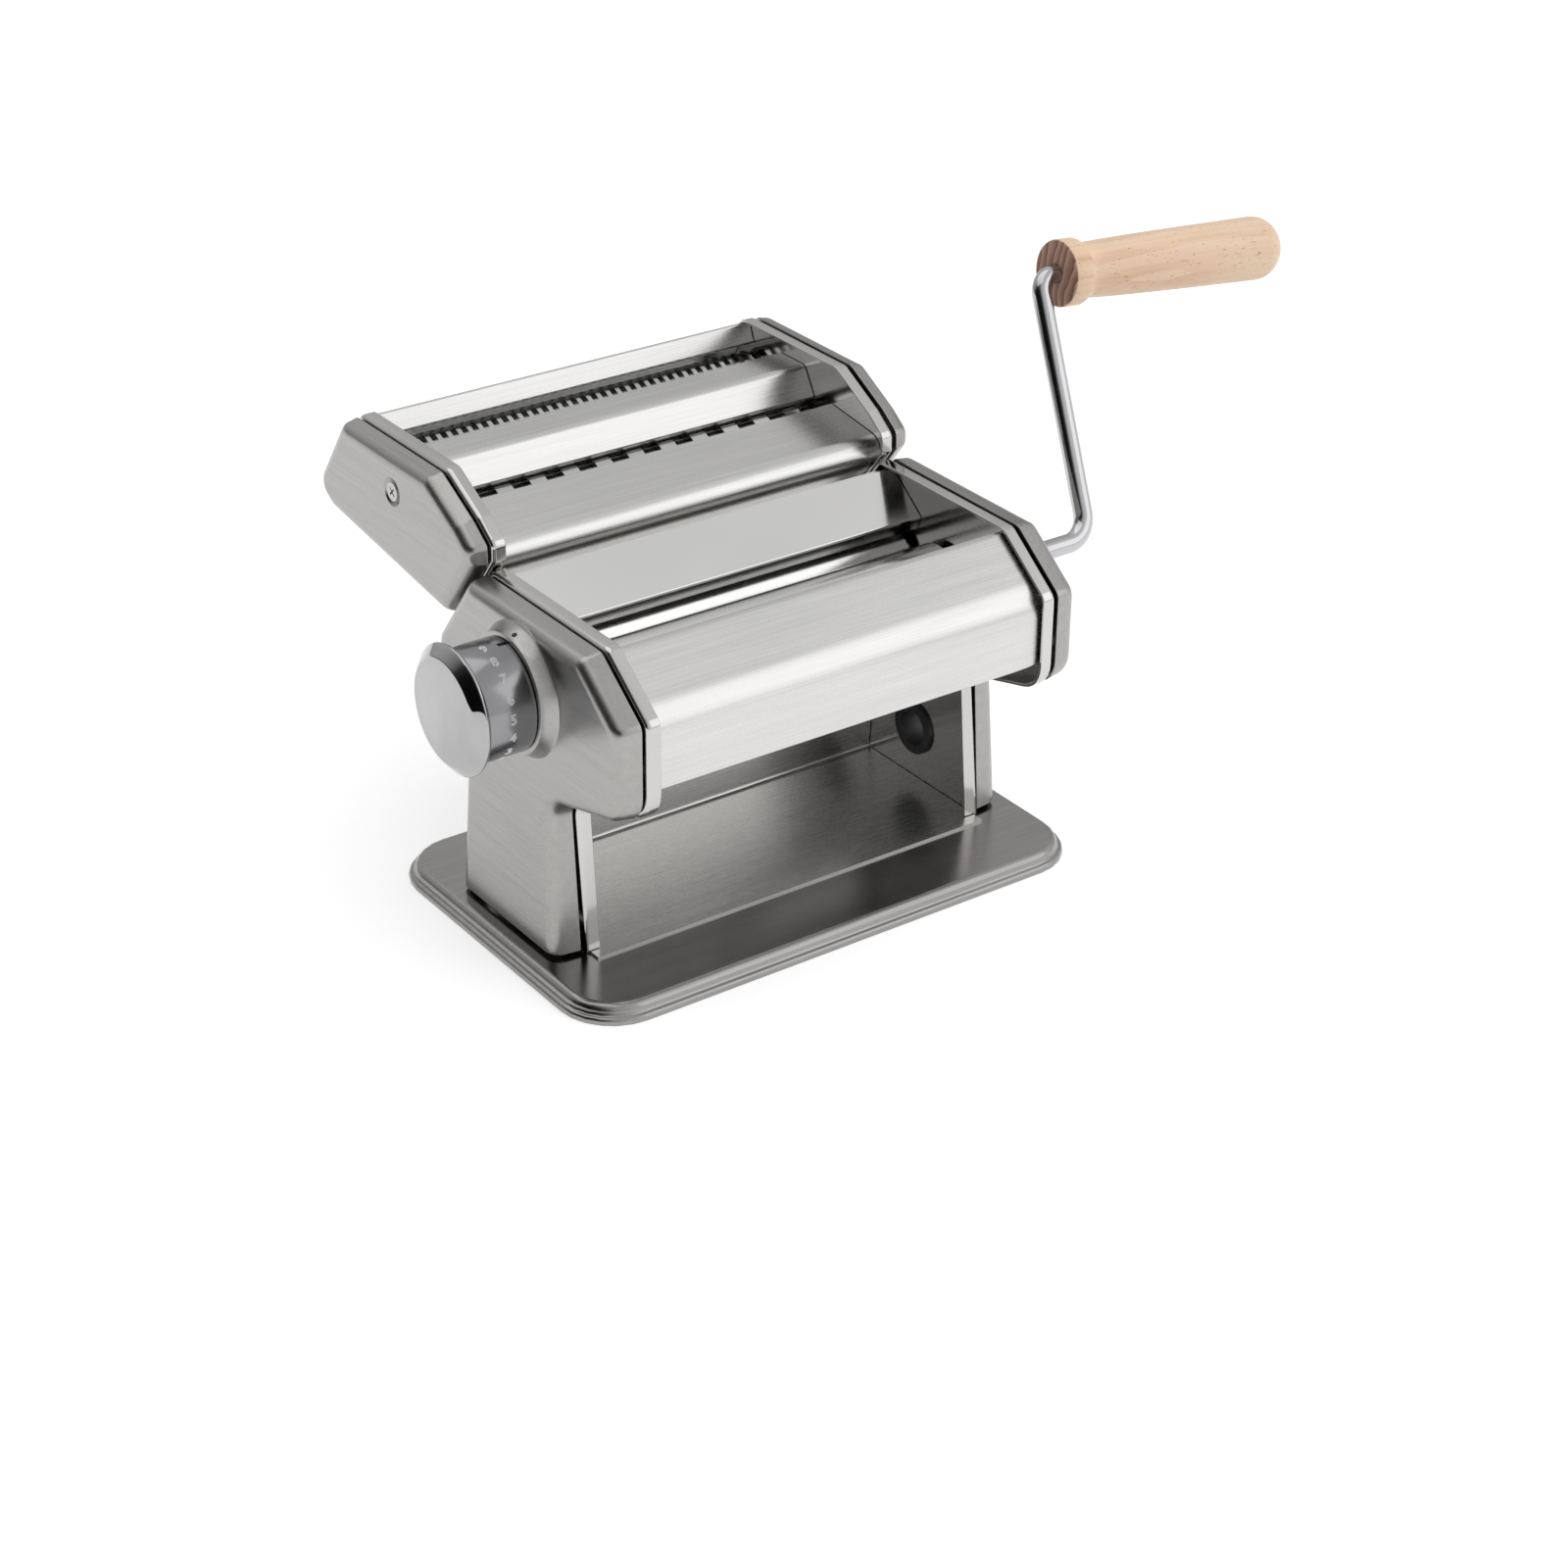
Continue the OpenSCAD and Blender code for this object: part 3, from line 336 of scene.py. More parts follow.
def creased(mesh, angle=35):
    # smooth shading, broken where faces meet at more than the angle
    mesh.shade_smooth()
    mesh.set_sharp_from_angle(angle=math.radians(angle))
    return mesh


def levelled(mesh, weight=70):
    # normals that keep the flats flat beside their rounded edges
    carrier = placedObject("carrier", mesh)
    weights = carrier.modifiers.new("weights", "WEIGHTED_NORMAL")
    weights.keep_sharp = True
    weights.weight = weight
    return settled(carrier)


def mergedForm(node):
    # a node's loose triangles joined, with each flat in one piece
    form = bmesh.new()
    form.from_mesh(nodes[node].data)
    bmesh.ops.remove_doubles(form, verts=form.verts, dist=2e-6)
    bmesh.ops.dissolve_limit(form, angle_limit=math.radians(0.3), verts=form.verts, edges=form.edges)
    return form


def softened(node):
    # a merged copy of a node, smooth over its rounded edges
    return levelled(creased(meshOf(mergedForm(node)), 38), 60)


def turnedMesh(profile, segments, place=Matrix(), closed=True):
    # revolves (radius, x) points about the X axis, anticlockwise in the half plane
    form = bmesh.new()
    grain = form.verts.layers.float_vector.new("grain")
    rows = []
    for radius, x in profile:
        count = 1 if radius < 1e-7 else segments
        row = []
        for k in range(count):
            turn = 2 * math.pi * k / segments
            spot = Vector((x, radius * math.cos(turn), radius * math.sin(turn)))
            vertex = form.verts.new(place @ spot)
            vertex[grain] = spot
            row.append(vertex)
        rows.append(row)
    pairs = list(zip(rows, rows[1:])) + ([(rows[-1], rows[0])] if closed else [])
    for first, second in pairs:
        for k in range(segments):
            following = (k + 1) % segments
            corners = [first[k % len(first)], first[following % len(first)],
                       second[following % len(second)], second[k % len(second)]]
            kept = [c for i, c in enumerate(corners) if c not in corners[:i]]
            if len(kept) > 2:
                form.faces.new(kept)
    bmesh.ops.recalc_face_normals(form, faces=form.faces)
    return creased(meshOf(form))


def eased(points, steps):
    # a smooth run through (radius, x) points
    run = []
    for i in range(len(points) - 1):
        before, start, end, after = (Vector(points[max(0, min(len(points) - 1, k))])
                                     for k in (i - 1, i, i + 1, i + 2))
        for k in range(steps):
            t = k / steps
            spot = 0.5 * (2 * start + (end - before) * t
                          + (2 * before - 5 * start + 4 * end - after) * t * t
                          + (3 * start - before - 3 * end + after) * t ** 3)
            run.append((spot.x, spot.y))
    return run + [tuple(points[-1])]


# sheet metal, plates and small parts: softened copies of the nodes
softMaterials = {
    sheetSteel: ["rear_cover", "exit_tray", "cutter_bridge_plate"],
    smoothSteel: ["feed_plate"],
    baseSteelPaintedShade: ["base_tray"],
    plateSteel: ["guide_lugs"],
    rollerSteel: ["drive_roller", "adjustable_roller"],
    zincSteel: ["base_screws", "front_scraper", "rear_scraper", "tie_rods", "tie_rod_screws",
                "adjuster_link", "dial_spindle", "cutter_tie_rods", "cutter_cover_screws"],
    bushPlastic: ["clamp_bush", "drive_bushes", "dial_bush", "cutter_bushes"],
}
keptMaterials = {
    zincSteel: ["drive_gear", "adjustable_gear", "wide_combs", "narrow_combs", "wide_gear_front",
                "wide_gear_rear", "narrow_gear_front", "narrow_gear_rear"],
    bushPlastic: ["adjuster_blocks"],
    footRubber: ["rubber_feet"],
}


def pieceName(node):
    first, *rest = node.split("_")
    return first + "".join(word.capitalize() for word in rest)


for material, names in softMaterials.items():
    for node in names:
        addPiece(pieceName(node), softened(node), material, [node])
for material, names in keptMaterials.items():
    for node in names:
        nodes[node].data.materials.clear()
        nodes[node].data.materials.append(material)
print("sheet metal and small parts")


# crank and its handle
crank = {"axis": (-0.008, 0.087), "corner": 0.143, "inner": 0.0675, "arm": 0.093,
         "swing": 28, "lean": 5.5, "bar": 0.0035, "lowBend": 0.010, "topBend": 0.007, "gap": 0.0008}
handle = {"length": 0.0989, "flange": 0.01195, "flangeLength": 0.008, "neck": 0.0098, "full": 0.01155,
          "bore": 0.00355, "dome": 0.009, "tip": 0.0115, "barStop": 0.012}
swing = Matrix.Translation((0, *crank["axis"])) @ Matrix.Rotation(math.radians(-crank["swing"]), 4, "X")
lean = Matrix.Rotation(math.radians(crank["lean"]), 4, "Y")
armPlace = swing @ Matrix.Translation((crank["corner"], 0, 0)) @ lean
handlePlace = armPlace @ Matrix.Translation((crank["topBend"] + crank["gap"], 0, crank["arm"]))


def bentBarGrowth():
    # rounds the corners of a line and sweeps a round bar along it
    tree = Growth("bentBar", radius=crank["bar"], lowBend=crank["lowBend"], topBend=crank["topBend"],
                  bendSteps=14, sides=48, material=crankChrome)
    line = tree.node("GeometryNodeMeshToCurve", {}, {"Mesh": Wire(tree, tree.entry.outputs[0])})
    point = tree.node("GeometryNodeInputIndex")
    bend = (point > 1.5) * (tree.given("topBend") - tree.given("lowBend")) + tree.given("lowBend")
    rounded = tree.node("GeometryNodeFilletCurve", {"mode": "POLY"},
                        {"Curve": line, "Count": tree.given("bendSteps"), "Radius": bend})
    ring = tree.node("GeometryNodeCurvePrimitiveCircle", {"mode": "RADIUS"},
                     {"Resolution": tree.given("sides"), "Radius": tree.given("radius")})
    bar = tree.node("GeometryNodeCurveToMesh", {}, {"Curve": rounded, "Profile Curve": ring,
                                                    "Fill Caps": True})
    tree.end(bar)
    return tree


barLine = bpy.data.meshes.new("barLine")
handleEnd = crank["topBend"] + crank["gap"] + handle["length"] - handle["barStop"]
barLine.from_pydata([swing @ Vector((crank["inner"], 0, 0)), swing @ Vector((crank["corner"], 0, 0)),
                     armPlace @ Vector((0, 0, crank["arm"])),
                     armPlace @ Vector((handleEnd, 0, crank["arm"]))],
                    [(0, 1), (1, 2), (2, 3)], [])
addPiece("crankArm", creased(bentBarGrowth().grow(barLine), 50), crankChrome, ["crank_arm"])

h = handle
handleProfile = [(h["bore"], 0), (h["flange"] - 0.0009, 0), (h["flange"] - 0.0003, 0.0003),
                 (h["flange"], 0.0011), (h["flange"], h["flangeLength"] - 0.0008),
                 (h["flange"] - 0.0004, h["flangeLength"] + 0.0002)]
handleProfile += eased([(h["flange"] - 0.0012, h["flangeLength"] + 0.0009), (h["neck"], 0.0112),
                        (h["neck"] + 0.0002, 0.016), (h["neck"] + 0.0006, 0.026),
                        (h["full"] - 0.0005, 0.055), (h["full"], h["length"] - h["dome"])], 6)[:-1]
handleProfile += [(h["full"] - h["dome"] + h["dome"] * math.cos(math.radians(a)),
                   h["length"] - h["dome"] + h["dome"] * math.sin(math.radians(a)))
                  for a in range(0, 91, 6)]
handleProfile += [(0, h["length"]), (0, h["length"] - h["tip"]), (h["bore"], h["length"] - h["tip"])]
addPiece("crankHandle", turnedMesh(handleProfile, 96, handlePlace), handleBeech, ["crank_handle"])
print("crank and handle")


# cutter rollers
def ringRowGrowth():
    # a row of equal rings along X, joined to the core that comes in
    tree = Growth("ringRow", count=11, pitch=0.013, first=-0.065, width=0.0062, radius=0.008, sides=64,
                  axisY=0.0, axisZ=0.0, material=ringSteel)
    start = tree.node("ShaderNodeCombineXYZ", {}, {"X": tree.given("first"), "Y": tree.given("axisY"),
                                                   "Z": tree.given("axisZ")})
    step = tree.node("ShaderNodeCombineXYZ", {}, {"X": tree.given("pitch")})
    row = tree.node("GeometryNodeMeshLine", {"mode": "OFFSET"}, {"Count": tree.given("count"),
                                                                 "Start Location": start, "Offset": step})
    ring = tree.node("GeometryNodeMeshCylinder", {"fill_type": "NGON"},
                     {"Vertices": tree.given("sides"), "Radius": tree.given("radius"),
                      "Depth": tree.given("width")})
    laid = tree.node("GeometryNodeTransform", {}, {"Geometry": ring, "Rotation": (0, math.pi / 2, 0)})
    rings = tree.node("GeometryNodeInstanceOnPoints", {}, {"Points": row, "Instance": laid})
    both = tree.node("GeometryNodeJoinGeometry", {}, {0: [Wire(tree, tree.entry.outputs[0]), rings]})
    tree.end(both)
    return tree


cutter = {"ring": 0.008, "mesh": 0.0014, "end": 0.0775, "plate": 0.080, "reach": 0.088, "short": 0.086,
          "bore": 0.00355, "boreDepth": 0.024, "slack": 0.0003, "coreGap": 0.0004, "journalStep": 0.001,
          "stub": 0.0015,
          "pairs": {"wide": (0.062, 0.1195, 0.013), "narrow": (0.0965, 0.127, 0.004)}}
apart = 2 * cutter["ring"] - cutter["mesh"]
core = apart - cutter["ring"] - cutter["coreGap"]
journal = core - cutter["journalStep"]
rows = ringRowGrowth()
for pair, (y, z, pitch) in cutter["pairs"].items():
    count = math.floor((2 * cutter["end"] - pitch / 2) / pitch + 1e-9)
    for side, place in ((-1, "front"), (1, "rear")):
        node = f"{pair}_cutter_{place}"
        reach = cutter["reach"] if side < 0 else cutter["short"]
        stub = -cutter["plate"] - cutter["stub"]
        coreProfile = [(0, stub), (journal, stub),
                       (journal, -cutter["end"]), (core, -cutter["end"]), (core, cutter["end"]),
                       (journal, cutter["end"]), (journal, reach), (cutter["bore"], reach),
                       (cutter["bore"], reach - cutter["boreDepth"]), (0, reach - cutter["boreDepth"])]
        axis = y + side * apart / 2
        coreMesh = turnedMesh(coreProfile, 64, Matrix.Translation((0, axis, z)), closed=False)
        first = (side * 0.25 - (count - 1) / 2) * pitch
        width = pitch / 2 - cutter["slack"]
        mesh = rows.grow(coreMesh, count=count, pitch=pitch, first=first, width=width,
                         axisY=axis, axisZ=z)
        addPiece(pieceName(node), creased(mesh), ringSteel, [node])
print("cutter rollers")


# pressed and folded sheet metal, made from the side outlines of the frame and the cutter unit
# outline corners are (y, z, radius) in millimetres, anticlockwise seen from the crank side
frameSide = [(-29.5, -4, 1), (33, -4, 1), (28.5, 58, 7), (44, 80, 6), (44, 95, 5), (24, 121.5, 3),
             (-43, 121.5, 5), (-65.5, 104.5, 5), (-65.5, 71.5, 11), (-24.5, 60.5, 7)]
cutterSide = [(40.475, 100.5, 2), (115, 110.5, 4), (122.5, 115, 5), (123.5, 122, 6), (106, 147.3, 5),
              (49.5, 147.3, 5), (31, 137.3, 9), (22.362, 131, 4), (22.362, 124.5, 1.5)]
arcSteps = 7


def leftward(a, b):
    # unit normal to the left of the line from a to b
    along = Vector(b[:2]) - Vector(a[:2])
    return Vector((-along.y, along.x)).normalized()


def inset(corners, distance, softest=0.3, closed=True):
    # moves every side of an outline or path to its left and shrinks its convex corners
    moved = []
    for i, (y, z, radius) in enumerate(corners):
        before, here, after = corners[i - 1], corners[i], corners[(i + 1) % len(corners)]
        m, n = leftward(before, here), leftward(here, after)
        if not closed and i == 0:
            m = n
        elif not closed and i == len(corners) - 1:
            n = m
        spot = Vector((y, z)) + distance * (m + n) / (1 + m.dot(n))
        convex = m.cross(n) > 0
        moved.append((spot.x, spot.y, max(radius - distance, softest) if convex else radius + distance))
    return moved


def rounded(corners, closed=True):
    # points of an outline or path with its corners rounded
    points = []
    for i, (y, z, radius) in enumerate(corners):
        here = Vector((y, z))
        if not closed and i in (0, len(corners) - 1):
            points.append(here)
            continue
        u = Vector(corners[i - 1][:2]) - here
        v = Vector(corners[(i + 1) % len(corners)][:2]) - here
        half = u.angle(v) / 2
        radius = min(radius, 0.48 * min(u.length, v.length) * math.tan(half))
        u, v = u.normalized(), v.normalized()
        centre = here + (u + v).normalized() * radius / math.sin(half)
        start = here + u * radius / math.tan(half) - centre
        sweep = math.pi - 2 * half
        if u.cross(v) > 0:
            sweep = -sweep
        for k in range(arcSteps + 1):
            points.append(centre + Matrix.Rotation(sweep * k / arcSteps, 2) @ start)
    return points


def ringMesh(rings, openAfter):
    # joins equal rings of points, the last to the first, and leaves one gap open
    form = bmesh.new()
    rows = [[form.verts.new(Vector(spot) / 1000) for spot in ring] for ring in rings]
    for i, first in enumerate(rows):
        second = rows[(i + 1) % len(rows)]
        for k in range(0 if i == openAfter else len(first)):
            after = (k + 1) % len(first)
            form.faces.new((first[k], first[after], second[after], second[k]))
    return form, rows


def finished(form):
    # a closed form to a mesh, with its faces outwards
    bmesh.ops.recalc_face_normals(form, faces=form.faces)
    return creased(meshOf(form))


def carved(mesh, tools):
    # adds or cuts other meshes: (operation, mesh)
    carrier = placedObject("carrier", mesh)
    blocks = []
    for operation, tool in tools:
        block = placedObject("tool", tool)
        blocks.append(block)
        step = carrier.modifiers.new("carve", "BOOLEAN")
        step.operation = operation
        step.object = block
        step.solver = "EXACT"
    mesh = settled(carrier)
    for block in blocks:
        bpy.data.objects.remove(block)
    return creased(mesh)


def pressedCover(corners, press, crease=None):
    # a pressed cover: rolled hem, drafted wall and rounded edge, with a leg that may splay
    hem, face, wall = press["hem"], press["face"], press["wall"]
    outer = [(press["setback"] + d, hem + x) for d, x in press["roll"]]
    low, top = Vector((wall, face - press["edge"])), Vector((wall + press["edge"], face))
    mid = Vector((wall + press["pull"][0], face - press["pull"][1]))
    outer += [tuple((1 - t) ** 2 * low + 2 * t * (1 - t) * mid + t * t * top)
              for t in (k / 9 for k in range(10))]
    inner = [(d + press["thickness"][0], x - press["thickness"][1]) for d, x in reversed(outer[3:])]
    inner.append((press["setback"] + press["hemWidth"], hem))
    sections = outer + inner
    level = rounded(inset(corners, wall + press["edge"], press["corner"]))
    rings = []
    if crease:
        a, b = (k * (arcSteps + 1) + arcSteps // 2 for k in crease)
        down = leftward(level[a], level[b])
    for distance, x in sections:
        ring = []
        # corners soften over the first 2 mm of inset, past the hem
        softest = press["corner"] * min(1, max(0, (distance - 0.6) / 2))
        for p in rounded(inset(corners, distance, max(softest, 0.3))):
            drop = max(0, (p - level[a]).dot(down)) if crease else 0
            ring.append((hem + (x - hem) * (1 + press["splay"] * drop), p.x, p.y))
        rings.append(ring)
    last = len(outer) - 1
    form, rows = ringMesh(rings, last)
    for row in rows[last:last + 2]:
        lid = form.faces.new(row)
        if crease:
            bmesh.utils.face_split(lid, row[a], row[b])
    if "floor" in press:
        everything = form.verts[:] + form.edges[:] + form.faces[:]
        cut = bmesh.ops.bisect_plane(form, geom=everything, plane_co=(0, 0, press["floor"] / 1000),
                                     plane_no=(0, 0, 1), clear_inner=True)
        rim = [e for e in cut["geom_cut"] if isinstance(e, bmesh.types.BMEdge)]
        bmesh.ops.edgeloop_fill(form, edges=rim)
    return form


def mirrored(mesh):
    # the same mesh for the dial side
    form = bmesh.new()
    form.from_mesh(mesh)
    bmesh.ops.scale(form, vec=(-1, 1, 1), verts=form.verts)
    bmesh.ops.reverse_faces(form, faces=form.faces)
    return creased(meshOf(form))


def drum(radius, start, end):
    return [(0, start), (radius, start), (radius, end), (0, end)]


# roll is the hem's curl, pull bends the edge's curve, thickness is (wall, face)
pressed = {"hem": 81.2, "hemWidth": 1.1, "setback": 0.5, "roll": [(0.45, 0), (0.12, 0.1), (0, 0.45)],
           "wall": 1.0, "corner": 5, "pull": (0.4, 0.2), "thickness": (0.8, 1.0)}
framePress = {**pressed, "face": 90, "edge": 5, "splay": 0.15 / 58, "floor": 7.5}
cutterPress = {**pressed, "face": 88, "edge": 4.6, "splay": 0}
# where things pass through or sit on the covers, as (y, z)
fitting = {"crank": (-0.008, 0.087), "clamp": (0.005, 0.0257), "dial": (-0.0095, 0.0965),
           "screw": (0.0714, 0.1335), "wideSocket": (0.0547, 0.1195), "narrowSocket": (0.0892, 0.127)}


def fitted(name, profile):
    return turnedMesh(profile, 64, Matrix.Translation((0, *fitting[name])))


def hole(name, radius, start, end):
    return "DIFFERENCE", fitted(name, drum(radius, start, end))


coverMesh = finished(pressedCover(frameSide, framePress, (2, 9)))
cutterCoverMesh = finished(pressedCover(cutterSide, cutterPress))
countersink = [(0, 0.0868), (0.0034, 0.0868), (0.0052, 0.08815), (0, 0.08815)]
screwSeat = [("UNION", fitted("screw", drum(0.0055, 0.0858, 0.0871))),
             ("DIFFERENCE", fitted("screw", countersink)), hole("screw", 0.0015, 0.083, 0.089)]
rightCutterHoles = [hole(name, 0.0066, 0.08, 0.09) for name in ("wideSocket", "narrowSocket")]
rightHoles = [hole("crank", 0.0065, 0.085, 0.095), hole("clamp", 0.0081, 0.084, 0.099)]
leftHole = [hole("dial", 0.007, 0.085, 0.095)]
seated = carved(cutterCoverMesh, screwSeat)
covers = {"right_side_cover": carved(coverMesh.copy(), rightHoles),
          "left_side_cover": mirrored(carved(coverMesh, leftHole)),
          "cutter_right_cover": carved(seated.copy(), rightCutterHoles),
          "cutter_left_cover": mirrored(seated)}
for node, mesh in covers.items():
    addPiece(pieceName(node), levelled(mesh), coverSteelPaintedShade, [node])


def foldedSheet(path, thickness, half):
    # a sheet folded along a path, with its thickness to the left
    loop = rounded(path, False) + rounded(inset(path, thickness, closed=False), False)[::-1]
    form, ends = ringMesh([[(x, p.x, p.y) for p in loop] for x in (-half, half)], 1)
    for end in ends:
        form.faces.new(end)
    return levelled(finished(form))


# a fold is (y, z, radius); the front cover and the rear plate start from the side outlines
sheet = {"drop": 2.2, "thickness": 0.8, "half": 78.7, "throatEdge": -40.5, "noseFold": 16,
         "apron": 79.5, "apronFold": 1.2, "apronLip": 5,
         "rearFoot": (0.3, 4), "rearCrown": (107, 146.3, 1),
         "rearLip": [(103.9, 138.3, 0.6), (104.4, 137.5, 0)],
         "cutterFront": [(57.5, 128.4, 0), (57.5, 130.5, 1), (21.6, 126, 6.6), (39.967, 104.825, 0)]}
brow, nose = inset(frameSide, sheet["drop"])[6:8]
frontPath = [(sheet["throatEdge"], brow[1], 0), brow, (nose[0], nose[1], sheet["noseFold"]),
             (nose[0], sheet["apron"], sheet["apronFold"]),
             (nose[0] + sheet["apronLip"], sheet["apron"], 0)]
back = inset(cutterSide, sheet["drop"])[3]
rearPath = [(back[0] - sheet["rearFoot"][0], back[1] - sheet["rearFoot"][1], 0), back,
            sheet["rearCrown"]] + sheet["rearLip"]
for node, path in (("front_cover", frontPath), ("cutter_rear_plate", rearPath),
                   ("cutter_front_cover", sheet["cutterFront"])):
    addPiece(pieceName(node), foldedSheet(path, sheet["thickness"], sheet["half"]), sheetSteel, [node])


plate = {"face": 0.080, "flangeEnd": 0.073, "shownEnd": 0.0748, "round": 0.0019, "eased": 0.00025,
         "flangeReach": 0.003, "webReach": 0.002}


def flangedPlate(node):
    # the plate with its flange rounded over and its free edge eased
    form = mergedForm(node)
    for vertex in form.verts:
        if abs(abs(vertex.co.x) - plate["flangeEnd"]) < 2e-5:
            vertex.co.x *= plate["shownEnd"] / plate["flangeEnd"]
    form.normal_update()

    def sideEdges(x, reach):
        # edges at x between a wall along X and a face across it, where the wall is deeper than reach
        found = []
        for edge in form.edges:
            if len(edge.link_faces) == 2 and all(abs(abs(v.co.x) - x) < 2e-5 for v in edge.verts):
                across = [abs(f.normal.x) > 0.9 for f in edge.link_faces]
                if across.count(True) == 1:
                    wall = edge.link_faces[across.index(False)]
                    depth = [abs(v.co.x) for v in wall.verts]
                    if max(depth) - min(depth) > reach:
                        found.append(edge)
        return found

    bmesh.ops.bevel(form, geom=sideEdges(plate["face"], plate["flangeReach"]), offset=plate["round"],
                    segments=5, profile=0.5, affect="EDGES", clamp_overlap=False)
    bmesh.ops.bevel(form, geom=sideEdges(plate["shownEnd"], plate["webReach"]), offset=plate["eased"],
                    segments=2, profile=0.5, affect="EDGES", clamp_overlap=False)
    return levelled(creased(meshOf(form), 38))


for node in ("left_side_plate", "right_side_plate", "cutter_left_plate", "cutter_right_plate"):
    addPiece(pieceName(node), flangedPlate(node), plateSteel, [node])
print("covers, plates and folded sheets")


# thickness dial
dial = {"axis": (-0.0095, 0.0965), "barrel": 0.01875, "wall": 0.0015, "from": -0.0955, "to": -0.1125,
        "rim": 0.0216, "face": 0.0174, "spindle": 0.005, "hub": 0.0075,
        "index": 84, "step": 20, "digitHeight": 0.0034, "digitPlace": -0.104,
        "dot": 0.00021, "dotSpacing": 0.00052, "notch": (0.0036, 0.0017, 0.0012)}
dialPlace = Matrix.Translation((0, *dial["axis"]))


def onBarrel(x, angle, out=0.0):
    # a point over the barrel; angle 0 faces the front and 90 the top
    reach = dial["barrel"] + out
    turn = math.radians(angle)
    return Vector((x, dial["axis"][0] - reach * math.cos(turn), dial["axis"][1] + reach * math.sin(turn)))


def barrelMesh():
    # a short tube with rolled edges and the index notch cut into its inner end
    d = dial
    inner = d["barrel"] - d["wall"]
    ease = 0.0004
    profile = [(inner, d["to"]), (d["barrel"] - ease, d["to"]),
               (d["barrel"] - ease * 0.3, d["to"] + ease * 0.3),
               (d["barrel"], d["to"] + ease), (d["barrel"], d["from"] - ease),
               (d["barrel"] - ease * 0.3, d["from"] - ease * 0.3), (d["barrel"] - ease, d["from"]),
               (inner, d["from"])]
    length, width, depth = d["notch"]
    # the block that cuts the notch stands past the end of the tube
    past = 0.001
    form = bmesh.new()
    centre = onBarrel(d["from"] - length / 2 + past / 2, d["index"])
    bmesh.ops.create_cube(form, size=1.0, matrix=Matrix.Translation(centre)
                          @ Matrix.Rotation(math.radians(-d["index"]), 4, "X")
                          @ Matrix.Diagonal((length + past, depth * 2, width, 1)))
    return carved(turnedMesh(profile, 128, dialPlace), [("DIFFERENCE", meshOf(form))])


def digitOutlines():
    # the outlines of 9 to 0, wrapped round the barrel from the index downwards
    spots, edges = [], []
    for k in range(10):
        text = bpy.data.curves.new("digit", "FONT")
        text.body = str(9 - k)
        text.size = dial["digitHeight"] * 1.4  # the font's size is more than its digits' height
        text.align_x = "CENTER"
        text.align_y = "CENTER"
        text.resolution_u = 4
        flat = settled(placedObject("digit", text))
        form = bmesh.new()
        form.from_mesh(flat)
        bmesh.ops.remove_doubles(form, verts=form.verts, dist=1e-6)
        number = {}
        for edge in form.edges:
            if len(edge.link_faces) == 1:
                for vertex in edge.verts:
                    if vertex.index not in number:
                        number[vertex.index] = len(spots)
                        lift = math.degrees(vertex.co.y / dial["barrel"])
                        spots.append(onBarrel(dial["digitPlace"] + vertex.co.x,
                                              dial["index"] - dial["step"] * k + lift, dial["dot"] * 0.1))
                edges.append(tuple(number[vertex.index] for vertex in edge.verts))
        form.free()
        bpy.data.meshes.remove(flat)
    outlines = bpy.data.meshes.new("digitOutlines")
    outlines.from_pydata(spots, edges, [])
    return outlines


def stippleGrowth():
    # small raised dots at equal steps along every line
    tree = Growth("stipple", dot=dial["dot"], spacing=dial["dotSpacing"], material=digitSteelPaintedHighlight)
    line = tree.node("GeometryNodeMeshToCurve", {}, {"Mesh": Wire(tree, tree.entry.outputs[0])})
    steps = tree.node("GeometryNodeResampleCurve", {"mode": "LENGTH"},
                      {"Curve": line, "Length": tree.given("spacing")})
    dot = tree.node("GeometryNodeMeshIcoSphere", {}, {"Radius": tree.given("dot"), "Subdivisions": 2})
    tree.end(tree.node("GeometryNodeInstanceOnPoints", {}, {"Points": steps, "Instance": dot}))
    return tree


def knobMesh():
    e = dial["to"]
    rim = [(dial["barrel"], e), (dial["rim"] - 0.0007, e - 0.0009), (dial["rim"], e - 0.0019),
           (dial["rim"] - 0.0004, e - 0.0027), (dial["face"] + 0.0010, e - 0.0050)]
    face = [(dial["face"] + 0.0004, e - 0.00545), (dial["face"], e - 0.0056),
            (dial["face"] * 0.5, e - 0.00585), (0, e - 0.006)]
    hub = [(0, e - 0.002), (dial["spindle"], e - 0.002), (dial["spindle"], e + 0.008),
           (dial["hub"], e + 0.008), (dial["hub"], e)]
    return turnedMesh(eased(rim, 4) + face + hub, 128, dialPlace)


def knobPaint():
    # mirror rim round a satin face
    paint = Paint("dialKnobFinish", Metallic=1.0)
    x, y, z = paint.node("ShaderNodeSeparateXYZ", {}, {"Vector": paint.place}).parts(0, 1, 2)
    fromAxis = paint.node("ShaderNodeMath", {"operation": "SQRT"},
                          {0: (y - dial["axis"][0]) * (y - dial["axis"][0])
                           + (z - dial["axis"][1]) * (z - dial["axis"][1])})
    satin = (1 - (fromAxis > dial["face"] - 0.0002)) * (1 - (x > dial["to"] - 0.0052))
    fine = paint.noise((900, 900, 900), 2.0, 0.6)
    haze = paint.noise((40, 40, 40), 3.0, 0.5, 3.0)
    paint.feed("Base Color", paint.ramp(haze, [(0.3, (0.40, 0.40, 0.40)), (0.7, (0.49, 0.49, 0.49))]))
    paint.feed("Roughness", satin * 0.27 + fine * 0.03 + haze * 0.03)
    paint.bump(fine * satin, 0.1, 0.0001)
    return paint.material


